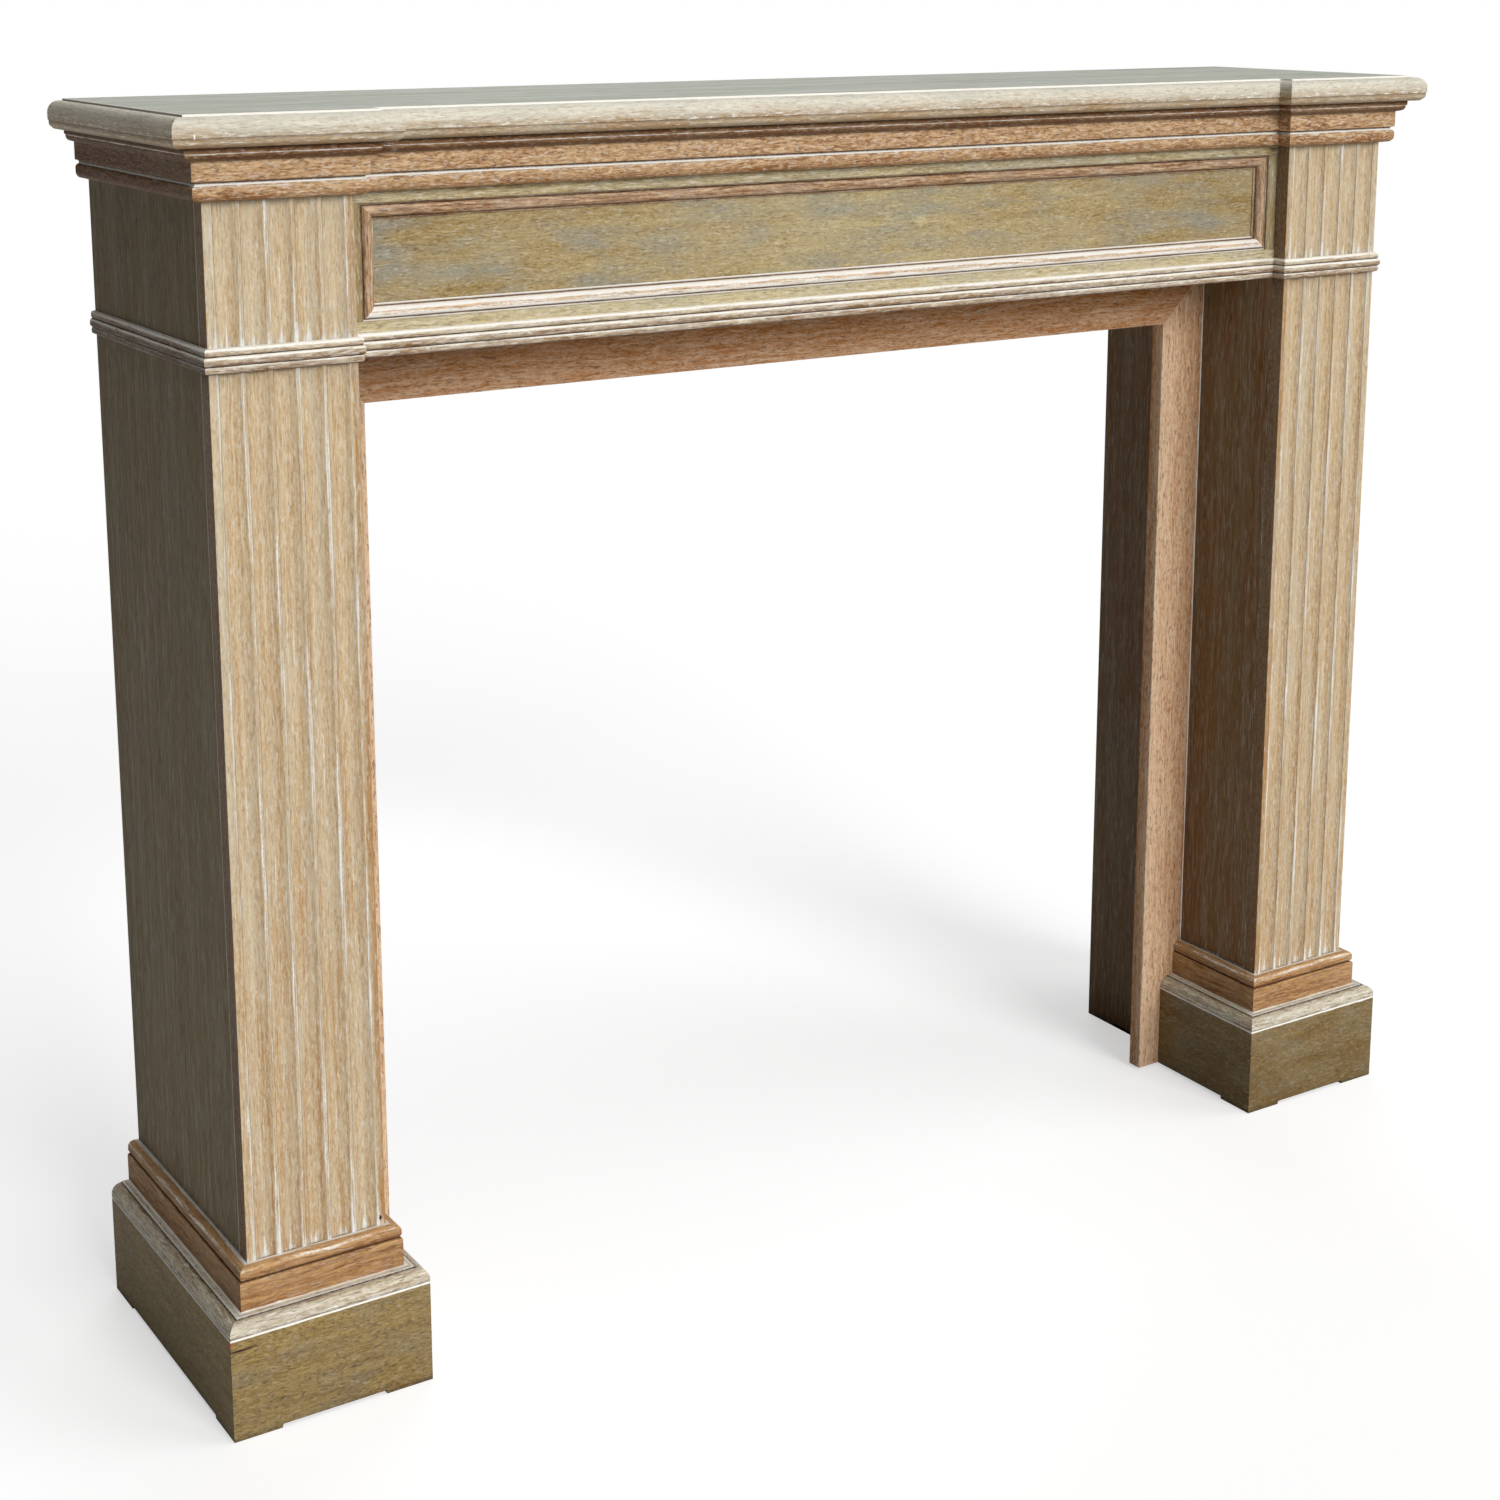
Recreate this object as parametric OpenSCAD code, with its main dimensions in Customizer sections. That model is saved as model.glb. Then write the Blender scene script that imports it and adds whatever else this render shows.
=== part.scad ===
// Fireplace mantelpiece: two boxed legs with fluted fronts on mitred plinths, a breakfront
// frieze with a moulded panel, slips around the fire opening, and a shelf over a cornice.
//
// Frame: millimetres, +X to the right, +Y towards the wall, +Z up. The origin is on the
// floor, midway between the legs and midway between the wall and the front of the shelf.

/* [Overall] */
// Width over the outer faces of the two legs, without mouldings
body_w = 1412; // [1000:1:2000]
// Height from the floor to the top of the shelf
height = 1220; // [900:1:1600]
// Depth of the legs from the wall to their front faces
leg_depth = 300; // [230:1:420]
// Width of each leg's front face
leg_w = 140; // [100:1:200]
// Thickness of the boards that box the legs, frieze and slips
board_t = 18; // [14:0.5:24]

/* [Flutes] */
// Number of flutes in each leg
flute_count = 5; // [3:1:7]
// Width of the flat between two flutes
fillet_w = 3; // [1:0.5:6]
// Width of the flat between the outermost flute and the leg's edge
flute_margin = 8.4; // [5:0.1:15]
// Depth of each flute
flute_depth = 4; // [1:0.5:7]

/* [Shelf] */
// Thickness of the shelf board and of the nosing on its edge
shelf_t = 28; // [24:0.5:40]
// How far the nosing stands out from the leg faces
nosing_out = 36; // [26:0.5:60]
// Width of the nosing from its joint with the shelf board to its front
nosing_w = 15; // [12:0.5:20]
// Radius under the front of the nosing
nosing_low_r = 10; // [4:0.5:12]

/* [Cornice] */
// Height of the cornice from the foot of its bead to the shelf
cornice_h = 48; // [44:0.5:70]
// Radius of the bead at the foot of the cornice
bead_r = 6.8; // [4:0.1:9]
// How far the bead stands out
bead_out = 11.9; // [10:0.1:16]
// How far the flat band above the bead stands out
cornice_band_out = 12.1; // [8:0.1:18]
// Height of the flat band
cornice_band_h = 17.4; // [10:0.1:24]
// Radius of the ovolo above the flat band
ovolo_r = 9; // [5:0.5:12]

/* [Frieze] */
// Height of the frieze between the collar and the cornice
frieze_h = 126; // [90:1:220]
// Height of frieze rail that shows above and below the panel
rail_show = 10; // [6:0.5:30]
// Width of the stile at each end of the panel
stile_w = 14; // [8:0.5:40]
// Thickness of the frieze panel
panel_t = 9; // [6:0.5:12]
// Width of the moulding mitred around the panel
panel_mould_w = 15; // [12:0.5:24]

/* [Collar] */
// Height of the reeded collar below the frieze
collar_h = 23; // [21:0.5:36]
// How far the middle reed stands out
collar_out = 5.8; // [5:0.1:10]
// Radius of each reed
reed_r = 3.6; // [3:0.1:5]

/* [Slips] */
// Width of the slips around the fire opening
slip_w = 62; // [40:1:100]
// Distance of the slips behind the leg faces
slip_setback = 130; // [110:1:180]

/* [Base] */
// Height of the plinth
plinth_h = 103; // [80:1:140]
// How far the plinth stands out from the leg faces
plinth_out = 31; // [28:0.5:45]
// Height of the cap moulding on the plinth
cap_h = 14.6; // [13:0.1:24]
// Radius of the cap's ovolo
cap_r = 12; // [6:0.5:12.5]
// How far the flat base band stands out
base_band_out = 12.4; // [8:0.1:18]
// Height of the flat base band
base_band_h = 28.4; // [20:0.1:40]
// Radius of the torus above the base band
torus_r = 5.9; // [4:0.1:7.5]
// Height of the quirk between the base band and the torus
quirk_h = 1.5; // [1:0.1:3]
// Length of the pads left on the floor at the corners
pad_l = 48; // [30:1:60]
// Height of the relief between the pads
pad_h = 4; // [2:0.5:8]

/* [Hidden] */
$fn = 64;
SIDES = ["left", "right"];
// Lengths of a moulding that follows one leg above the opening, from the wall inwards
CROWN_RUNS = ["return", "front", "break"];
// Lengths of a moulding that follows the foot of one leg, from the wall inwards
BASE_RUNS = ["outer", "front", "inner"];
PANEL_SIDES = ["top", "bottom", "left", "right"];

outer_x = body_w / 2;
inner_x = outer_x - leg_w;
centre_depth = leg_depth - board_t;
cornice_top = height - shelf_t;
cornice_z = cornice_top - cornice_h;
frieze_z = cornice_z - frieze_h;
soffit_z = frieze_z - collar_h;
opening_h = soffit_z - slip_w;
opening_x = inner_x - slip_w;
slip_y = leg_depth - slip_setback;
nosing_in = nosing_out - nosing_w;
panel_low = frieze_z + rail_show;
panel_high = cornice_z - rail_show;
panel_x = inner_x - stile_w;
base_z = plinth_h + cap_h;
base_h = base_band_h + quirk_h + 2 * torus_r;
flute_w = (leg_w - 2 * flute_margin - (flute_count - 1) * fillet_w) / flute_count;
flute_r = (flute_w * flute_w / 4 + flute_depth * flute_depth) / (2 * flute_depth);
overall_depth = leg_depth + nosing_out;
// Overrun that keeps cutting faces clear of the faces they cut
clear = 1;
// Longer than any moulding's projection
reach = 80;

// ---- placing ----

// Moves the model from the wall plane to the middle of its depth.
module place() {
    translate([0, overall_depth / 2, 0]) children();
}

// Keeps the left side's child, or turns it over for the right side.
module on_side(side) {
    if (side == "left") children();
    else mirror([1, 0, 0]) children();
}

// A board standing on edge, facing forward: an outline in X and Z whose front is at depth y.
module facing_board(y, thickness) {
    translate([0, -y + thickness, 0])
        rotate([90, 0, 0])
            linear_extrude(thickness) children();
}

// A straight length of moulding on a face that looks towards -Y. The child is its profile,
// with the projection along X and the height along Y. Each end is square (0), or mitred
// for a corner that turns away (1) or towards (-1) the moulding.
module mitred_length(run, tall, start, end) {
    intersection() {
        translate([run + reach, 0, 0])
            rotate([90, 0, -90])
                linear_extrude(run + 2 * reach) children();
        translate([0, 0, -clear])
            linear_extrude(tall + 2 * clear)
                polygon([
                    [start * clear, clear],
                    [run - end * clear, clear],
                    [run + end * reach, -reach],
                    [-start * reach, -reach]
                ]);
    }
}

// One length of a moulding that follows the left leg's faces, at the height z.
module leg_run(where, z, tall) {
    if (where == "return" || where == "outer")
        translate([-outer_x, 0, z])
            rotate([0, 0, -90])
                mitred_length(leg_depth, tall, 0, 1) children();
    if (where == "front")
        translate([-outer_x, -leg_depth, z])
            mitred_length(leg_w, tall, 1, 1) children();
    if (where == "break")
        translate([-inner_x, -leg_depth, z])
            rotate([0, 0, 90])
                mitred_length(board_t, tall, 1, -1) children();
    if (where == "inner")
        translate([-inner_x, -leg_depth, z])
            rotate([0, 0, 90])
                mitred_length(leg_depth - slip_y, tall, 1, 0) children();
}

// The length of a moulding between the two legs, at the height z.
module centre_run(z, tall) {
    translate([-inner_x, -centre_depth, z])
        mitred_length(2 * inner_x, tall, -1, -1) children();
}

// ---- profiles: projection along X, height along Y ----

// A nosing with a wide round above and a small one below.
module nosing_profile() {
    translate([nosing_in, 0])
        intersection() {
            square([nosing_w, shelf_t]);
            union() {
                translate([0, shelf_t - nosing_w]) circle(nosing_w);
                translate([nosing_w - nosing_low_r, nosing_low_r]) circle(nosing_low_r);
                translate([0, nosing_low_r]) square([nosing_w, shelf_t - nosing_w - nosing_low_r]);
                square([nosing_w - nosing_low_r, shelf_t - nosing_w]);
            }
        }
}

// A bead, a flat band and an ovolo under a fillet.
module cornice_profile() {
    bead_x = bead_out - bead_r;
    bead_y = bead_r + 1.6;
    quirk_top = bead_y + bead_r + 3;
    band_top = quirk_top + cornice_band_h;
    square([bead_x, bead_y]);
    translate([bead_x, bead_y]) circle(bead_r);
    translate([0, bead_y]) square([cornice_band_out - 3, quirk_top - bead_y]);
    translate([0, quirk_top]) square([cornice_band_out, cornice_h - quirk_top]);
    intersection() {
        translate([cornice_band_out, band_top + ovolo_r]) circle(ovolo_r);
        translate([cornice_band_out - clear, band_top]) square([ovolo_r + clear, ovolo_r]);
    }
    translate([cornice_band_out - clear, band_top + ovolo_r])
        square([ovolo_r + clear, cornice_h - band_top - ovolo_r]);
}

// Three reeds on a flat back, the middle one the proudest.
module collar_profile() {
    square([collar_out / 2, collar_h]);
    translate([collar_out - reed_r - 1.3, reed_r]) circle(reed_r);
    translate([collar_out - reed_r - 1.3, collar_h - reed_r]) circle(reed_r);
    translate([collar_out - reed_r - 0.6, collar_h / 2]) circle(reed_r + 0.6);
}

// An ovolo with a flat top beside the base band.
module cap_profile() {
    square([plinth_out - cap_r, cap_h]);
    square([plinth_out, cap_h - cap_r]);
    intersection() {
        translate([plinth_out - cap_r, cap_h - cap_r]) circle(cap_r);
        square([plinth_out, cap_h]);
    }
}

// A flat band, a quirk and a torus.
module base_profile() {
    torus_x = base_band_out - torus_r - 0.9;
    square([base_band_out, base_band_h]);
    square([base_band_out - 2.6, base_band_h + quirk_h + torus_r]);
    square([torus_x, base_h]);
    translate([torus_x, base_h - torus_r]) circle(torus_r);
}

// A round-backed moulding on a flat, falling to a thin edge on the panel.
module panel_moulding_profile() {
    rise = board_t - panel_t;
    round_r = rise - 2.5;
    square([panel_mould_w, 2]);
    intersection() {
        translate([round_r + 0.5, rise - round_r]) circle(round_r);
        square([panel_mould_w, rise]);
    }
    translate([0.5, 0]) square([2 * round_r, rise - round_r]);
}

// Only what is in front of the backing face of a moulding.
module on_face(tall) {
    intersection() {
        children();
        square([reach, tall]);
    }
}

// ---- shelf, cornice and collar ----

// The shelf board, which breaks forward over each leg.
module shelf_board() {
    edge = nosing_in;
    color([0.69, 0.70, 0.64])
        place()
            translate([0, 0, cornice_top])
                linear_extrude(shelf_t)
                    polygon([
                        [-outer_x - edge, 0],
                        [-outer_x - edge, -leg_depth - edge],
                        [-inner_x + edge, -leg_depth - edge],
                        [-inner_x + edge, -centre_depth - edge],
                        [inner_x - edge, -centre_depth - edge],
                        [inner_x - edge, -leg_depth - edge],
                        [outer_x + edge, -leg_depth - edge],
                        [outer_x + edge, 0]
                    ]);
}

// A length of the shelf's nosing over one leg.
module nosing(side, where) {
    color([0.80, 0.77, 0.66])
        place() on_side(side) leg_run(where, cornice_top, shelf_t) nosing_profile();
}

// The nosing between the legs.
module nosing_centre() {
    color([0.80, 0.77, 0.66])
        place() centre_run(cornice_top, shelf_t) nosing_profile();
}

// A length of the cornice on one leg.
module cornice(side, where) {
    color([0.62, 0.45, 0.29])
        place() on_side(side) leg_run(where, cornice_z, cornice_h)
            on_face(cornice_h) cornice_profile();
}

// The cornice between the legs.
module cornice_centre() {
    color([0.62, 0.45, 0.29])
        place() centre_run(cornice_z, cornice_h) on_face(cornice_h) cornice_profile();
}

// A length of the collar on one leg.
module collar(side, where) {
    color([0.72, 0.66, 0.54])
        place() on_side(side) leg_run(where, soffit_z, collar_h)
            on_face(collar_h) collar_profile();
}

// The collar between the legs.
module collar_centre() {
    color([0.72, 0.66, 0.54])
        place() centre_run(soffit_z, collar_h) on_face(collar_h) collar_profile();
}

// ---- legs ----

// The front board of a leg, with flutes from its foot to the shelf.
module fluted_board(side) {
    color([0.78, 0.69, 0.54])
        place() on_side(side)
            translate([-outer_x, -leg_depth, pad_h])
                linear_extrude(cornice_top - pad_h)
                    difference() {
                        square([leg_w, board_t]);
                        for (i = [0 : flute_count - 1])
                            translate([
                                flute_margin + flute_w / 2 + i * (flute_w + fillet_w),
                                flute_depth - flute_r
                            ])
                                circle(flute_r);
                    }
}

// A side board of a leg, on pads at the wall and behind the front board.
module side_board(x) {
    difference() {
        translate([x, -centre_depth, 0]) cube([board_t, centre_depth, cornice_top]);
        translate([x - clear, pad_l - centre_depth, -clear])
            cube([board_t + 2 * clear, centre_depth - 2 * pad_l, pad_h + clear]);
    }
}

// The side of a leg away from the fire.
module outer_side(side) {
    color([0.42, 0.38, 0.27])
        place() on_side(side) side_board(-outer_x);
}

// The side of a leg next to the fire.
module inner_side(side) {
    color([0.35, 0.26, 0.16])
        place() on_side(side) side_board(-inner_x - board_t);
}

// ---- frieze ----

// A board of the frieze, from corner to corner in X and Z.
module frieze_board(low, high, thickness) {
    color([0.55, 0.50, 0.36])
        place()
            facing_board(centre_depth - board_t + thickness, thickness)
                translate(low) square([high[0] - low[0], high[1] - low[1]]);
}

// The rail behind the cornice.
module frieze_top_rail() {
    frieze_board([-inner_x, panel_high], [inner_x, cornice_top], board_t);
}

// The rail behind the collar.
module frieze_bottom_rail() {
    frieze_board([-inner_x, soffit_z], [inner_x, panel_low], board_t);
}

// The short stile at one end of the panel.
module frieze_stile(side) {
    on_side(side) frieze_board([-inner_x, panel_low], [-panel_x, panel_high], board_t);
}

// The panel, let in flush with the back of the frieze.
module frieze_panel() {
    frieze_board([-panel_x, panel_low], [panel_x, panel_high], panel_t);
}

// One side of the moulding mitred around the panel.
module panel_moulding(where) {
    tall = panel_high - panel_low;
    level = where == "top" || where == "bottom";
    turn = where == "top" ? 0 : where == "right" ? 90 : where == "bottom" ? 180 : 270;
    run = level ? 2 * panel_x : tall;
    edge = level ? tall / 2 : panel_x;
    color([0.50, 0.36, 0.22])
        place()
            translate([0, -(centre_depth - board_t + panel_t), panel_low + tall / 2])
                rotate([0, turn, 0])
                    translate([-run / 2, 0, edge])
                        rotate([90, 0, 0])
                            mitred_length(run, board_t - panel_t, -1, -1)
                                panel_moulding_profile();
}

// ---- slips and soffit ----

// The level board that closes the frieze back to the slips.
module soffit_board() {
    color([0.40, 0.30, 0.20])
        place()
            translate([-inner_x, board_t - centre_depth, soffit_z])
                cube([2 * inner_x, centre_depth - slip_y, board_t]);
}

// The slip over the fire opening, mitred to the jambs.
module header_slip() {
    color([0.50, 0.33, 0.20])
        place()
            facing_board(slip_y, board_t)
                polygon([
                    [-opening_x, opening_h],
                    [opening_x, opening_h],
                    [inner_x, soffit_z],
                    [-inner_x, soffit_z]
                ]);
}

// The slip beside the fire opening.
module jamb_slip(side) {
    color([0.60, 0.42, 0.28])
        place() on_side(side)
            facing_board(slip_y, board_t)
                polygon([
                    [-inner_x, pad_h],
                    [-opening_x, pad_h],
                    [-opening_x, opening_h],
                    [-inner_x, soffit_z]
                ]);
}

// ---- base ----

// One side of a leg's plinth, relieved between its pads.
module plinth(side, where) {
    length = where == "front" ? leg_w + 2 * plinth_out : leg_depth + plinth_out;
    color([0.60, 0.52, 0.34])
        place() on_side(side)
            difference() {
                leg_run(where, 0, plinth_h) square([plinth_out, plinth_h]);
                if (where == "front")
                    translate([-outer_x - plinth_out + pad_l, -leg_depth - plinth_out - clear, -clear])
                        cube([length - 2 * pad_l, plinth_out + 2 * clear, pad_h + clear]);
                if (where == "outer")
                    translate([-outer_x - plinth_out - clear, pad_l - length, -clear])
                        cube([plinth_out + 2 * clear, length - 2 * pad_l, pad_h + clear]);
                if (where == "inner")
                    translate([-inner_x - clear, pad_l - length, -clear])
                        cube([plinth_out + 2 * clear, length, pad_h + clear]);
            }
}

// One side of the cap moulding on a plinth.
module cap(side, where) {
    color([0.72, 0.68, 0.56])
        place() on_side(side) leg_run(where, plinth_h, cap_h) cap_profile();
}

// One side of the base moulding around the foot of a leg.
module base(side, where) {
    color([0.66, 0.50, 0.33])
        place() on_side(side) leg_run(where, base_z, base_h) on_face(base_h) base_profile();
}

// ---- nodes ----

shelf_board();
nosing_centre();
cornice_centre();
collar_centre();
for (s = SIDES, r = CROWN_RUNS) {
    nosing(s, r);
    cornice(s, r);
    collar(s, r);
}
for (s = SIDES) {
    fluted_board(s);
    outer_side(s);
    inner_side(s);
    jamb_slip(s);
    frieze_stile(s);
}
for (s = SIDES, r = BASE_RUNS) {
    plinth(s, r);
    cap(s, r);
    base(s, r);
}
for (p = PANEL_SIDES)
    panel_moulding(p);
frieze_top_rail();
frieze_bottom_rail();
frieze_panel();
soffit_board();
header_slip();
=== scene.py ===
"""Looks of a limed, distressed wooden fireplace mantelpiece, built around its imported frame."""

import logging
import math
from collections.abc import Callable
from dataclasses import dataclass, field
from enum import Enum

import bpy
import numpy as np
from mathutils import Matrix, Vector


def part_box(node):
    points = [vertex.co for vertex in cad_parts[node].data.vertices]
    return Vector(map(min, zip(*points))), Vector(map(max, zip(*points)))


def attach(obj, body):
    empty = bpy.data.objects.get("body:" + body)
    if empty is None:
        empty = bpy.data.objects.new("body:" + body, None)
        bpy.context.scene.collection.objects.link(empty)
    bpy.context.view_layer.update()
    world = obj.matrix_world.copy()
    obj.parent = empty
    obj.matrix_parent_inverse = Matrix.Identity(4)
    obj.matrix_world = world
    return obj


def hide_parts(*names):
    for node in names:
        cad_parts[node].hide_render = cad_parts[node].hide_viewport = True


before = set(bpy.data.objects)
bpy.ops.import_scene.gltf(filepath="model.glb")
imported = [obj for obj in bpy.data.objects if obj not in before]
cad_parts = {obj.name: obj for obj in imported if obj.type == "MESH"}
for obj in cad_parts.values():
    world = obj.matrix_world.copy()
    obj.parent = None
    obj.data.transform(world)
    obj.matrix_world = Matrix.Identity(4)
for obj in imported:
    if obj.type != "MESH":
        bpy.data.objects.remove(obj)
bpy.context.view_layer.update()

Pair = tuple[float, float]
Vec = tuple[float, float, float]
Rgba = tuple[float, float, float, float]
Socket = bpy.types.NodeSocket

MM = 0.001
LOG = logging.getLogger("mantelpiece")
# The grain sways across itself in steps this much shorter than along itself.
SWAY_ACROSS = 0.45
# How far the grain jumps from one piece to the next, in metres, so that no two pieces match.
GRAIN_SHIFT = (0.731, 0.417, 1.289)
# Edges that turn more than this stay crisp.
CRISP_EDGE = math.radians(38)
# Profile arcs turn by this much a step, and pieces have a ring of points at least this often.
ARC_STEP = math.radians(14)
RING_STEP = 30 * MM
# The first and last rings stand this far in from the cut ends.
END_MARGIN = 0.5 * MM
# Points this near each corner keep the paste in the corner.
NEAR_CORNER_MM = (0.5, 1.1, 2.2)
# A rounding smaller than this is drawn in two steps, and a turn of fewer radians is none.
FINE_RADIUS_MM = 0.8
LEAST_TURN = 0.02
# A rounding takes up no more of a side than this.
MOST_OF_SIDE = 0.97
# Where paste begins to show and where it is solid, and how much its runs and the grit break it.
PASTE_SHOWS, PASTE_SOLID, PASTE_BROKEN, PASTE_GRITTY = 0.45, 0.9, 0.9, 0.25
# How much the dirt and painted shade cover, and how much the grit breaks them.
DIRT_AND_SHADE_COVERS, DIRT_AND_SHADE_GRITTY = 0.95, 0.4
# A mark's edge fades between these shares of its half sizes, and the grit makes it ragged.
MARK_FADES, MARK_SOLID, MARK_RAGGED = 1.15, 0.75, 0.5
# Paste is rougher than the waxed wood by this much, and the wax has a dull shine.
PASTE_ROUGHER, WAX_SHINE = 0.2, 0.3
# How much of its relief the grain shows.
RELIEF_SHOWN = 0.5
# The directions that pieces run in.
X_RUN, Y_RUN, Z_RUN = (1, 0, 0), (0, 1, 0), (0, 0, 1)


# ---------------------------------------------------------------- colours and nodes


def linear(hex_colour: str) -> Rgba:
    """Turns an sRGB hex colour into the linear colour that a shader takes.

    Args:
        hex_colour: six hex digits after a hash sign.

    Returns:
        Linear red, green and blue, and an alpha of 1.
    """
    parts = [int(hex_colour[i:i + 2], 16) / 255 for i in (1, 3, 5)]
    lin = [c / 12.92 if c <= 0.04045 else ((c + 0.055) / 1.055) ** 2.4 for c in parts]
    return (lin[0], lin[1], lin[2], 1.0)


def add(tree: bpy.types.NodeTree, kind: str, inputs: dict | None = None, **settings: object
        ) -> bpy.types.Node:
    """Adds one node to a tree, with its settings, values and links.

    Args:
        tree: the node tree.
        kind: the shader node's Blender type.
        inputs: a value, or a socket to link from, for each input's name or number.
        settings: properties of the node itself.

    Returns:
        The new node.
    """
    node = tree.nodes.new(f"ShaderNode{kind}")
    for key, value in settings.items():
        setattr(node, key, value)
    for key, value in (inputs or {}).items():
        if isinstance(value, Socket):
            tree.links.new(value, node.inputs[key])
        else:
            node.inputs[key].default_value = value
    return node


class Slot(Enum):
    """The finishes of the mantelpiece, by the material slots of its record."""

    SHELF = "shelf_top"
    NOSING = "nosing"
    CORNICE = "cornice"
    COLLAR = "collar"
    FLUTES = "fluted_wood"
    SIDES = "side_wood"
    FRIEZE = "frieze_wood"
    PANEL = "panel_wood"
    PANEL_MOULD = "panel_moulding"
    SLIPS = "slip_wood"
    PLINTH = "plinth_wood"
    CAP = "cap_wood"
    BASE = "base_wood"


@dataclass(frozen=True)
class Mark:
    """One old mark on the wood, with its half sizes in millimetres and its colour.

    share is where it lies in its node's box, from the low corner, as a share of each side.
    """

    node: str
    share: Vec
    half_mm: Vec
    colour: str
    strength: float = 1.0

    def place(self) -> Vector:
        """Its middle in the frame, in metres."""
        low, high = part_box(self.node)
        return Vector([lo + part * (hi - lo) for lo, hi, part in zip(low, high, self.share)])


@dataclass(frozen=True)
class LimedWood:
    """A limed hardwood: brushed so that its soft grain sinks, stained, then rubbed with white
    liming paste that stays in the pores, the quirks and the corners. Matt, with a trace of wax.

    Sizes are in millimetres, along the grain and across it, and the amount beside each is how
    strongly it shows. Real pores are about 0.3 mm wide: they are drawn about six times as wide
    so that they show.
    """

    name: str
    light: str
    brown: str
    haze: str
    lime: str = "#f0ede4"
    crevice: str = "#33200f"
    bloom: str = "#8f938a"
    streak_mm: Pair = (160.0, 5.0)
    streaks: float = 0.5
    fibre_mm: Pair = (16.0, 1.8)
    fibres: float = 0.6
    pore_mm: Pair = (9.0, 1.8)
    pores: float = 0.4
    flecks: float = 0.4
    haze_mm: Pair = (110.0, 35.0)
    hazed: float = 0.4
    bloom_mm: Pair = (90.0, 22.0)
    bloomed: float = 0.0
    sway_mm: Pair = (60.0, 1.5)
    lime_run_mm: Pair = (30.0, 3.0)
    grit_mm: Pair = (3.4, 1.9)
    grit: float = 0.3
    roughness: float = 0.56
    relief_mm: float = 0.5
    marks: tuple[Mark, ...] = ()

    def material(self) -> bpy.types.Material:
        """Makes the finish as a node material.

        Returns:
            A material that reads the grain and patina attributes of a piece.
        """
        made = bpy.data.materials.new(self.name)
        made.use_nodes = True
        tree = made.node_tree
        tree.nodes.clear()
        grain = add(tree, "Attribute", attribute_name="grain").outputs["Vector"]
        patina = add(tree, "Attribute", attribute_name="patina").outputs["Vector"]
        pasted, dirt_and_shade, browned = add(tree, "SeparateXYZ", {0: patina}).outputs

        def drawn_out(place: Socket, size: Pair) -> Socket:
            """Draws a place out along the grain.

            Args:
                place: the socket that carries it.
                size: the pattern's size along and across the grain, in millimetres.

            Returns:
                The socket that carries the scaled place.
            """
            scale = (1 / (size[0] * MM), 1 / (size[1] * MM), 1 / (size[1] * MM))
            return add(tree, "VectorMath", {0: place, 1: scale}, operation="MULTIPLY").outputs[0]

        sway = add(tree, "TexNoise",
                   {"Vector": drawn_out(grain, (self.sway_mm[0], self.sway_mm[0] * SWAY_ACROSS)),
                    "Scale": 1.0, "Detail": 2.0})
        pull = add(tree, "VectorMath", {0: sway.outputs["Color"], 1: (0.5, 0.5, 0.5)},
                   operation="SUBTRACT")
        reach = self.sway_mm[1] * MM * 4
        wavy = add(tree, "VectorMath", {0: pull.outputs[0], 1: (reach, reach, reach), 2: grain},
                   operation="MULTIPLY_ADD").outputs[0]

        def pattern(size: Pair, detail: float, low: float, high: float, seed: float) -> Socket:
            """Noise drawn out along the wavy grain, from 0 at low to 1 at high.

            Args:
                size: its size along and across the grain, in millimetres.
                detail: the octaves of finer noise.
                low: the noise value that becomes 0.
                high: the noise value that becomes 1.
                seed: a shift, so that two patterns of one size differ.

            Returns:
                The socket that carries the pattern.
            """
            place = add(tree, "VectorMath", {0: drawn_out(wavy, size), 1: (seed, seed, seed)},
                        operation="ADD")
            noise = add(tree, "TexNoise", {"Vector": place.outputs[0], "Scale": 1.0,
                                           "Detail": detail, "Roughness": 0.6})
            return add(tree, "MapRange", {0: noise.outputs["Fac"], 1: low, 2: high}).outputs[0]

        def swayed(value: object, by: Socket, most: float, clamp: bool = False) -> Socket:
            """Shifts a value up where a pattern is high and down where it is low.

            Args:
                value: the value to shift.
                by: the pattern.
                most: how much more it gets where the pattern is 1 than where it is 0.
                clamp: whether the answer stays between 0 and 1.

            Returns:
                The socket that carries the answer.
            """
            middle = add(tree, "Math", {0: by, 1: 0.5}, operation="SUBTRACT").outputs[0]
            return add(tree, "Math", {0: middle, 1: most, 2: value}, operation="MULTIPLY_ADD",
                       use_clamp=clamp).outputs[0]

        def coat(under: object, colour: str, where: Socket, most: object = 1.0) -> Socket:
            """Rubs a coat of colour over what is there.

            Args:
                under: the colour below.
                colour: the coat's colour.
                where: the pattern of the coat.
                most: how much of it shows where the pattern is 1.

            Returns:
                The socket that carries the colour.
            """
            cover = add(tree, "Math", {0: where, 1: most}, operation="MULTIPLY", use_clamp=True)
            return add(tree, "Mix", {"Factor": cover.outputs[0], 6: under, 7: linear(colour)},
                       data_type="RGBA").outputs[2]

        streak = pattern(self.streak_mm, 3.0, 0.30, 0.70, 0.0)
        fibre = pattern(self.fibre_mm, 2.0, 0.32, 0.68, 3.1)
        pore = pattern(self.pore_mm, 1.0, 0.57, 0.68, 7.3)
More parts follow.
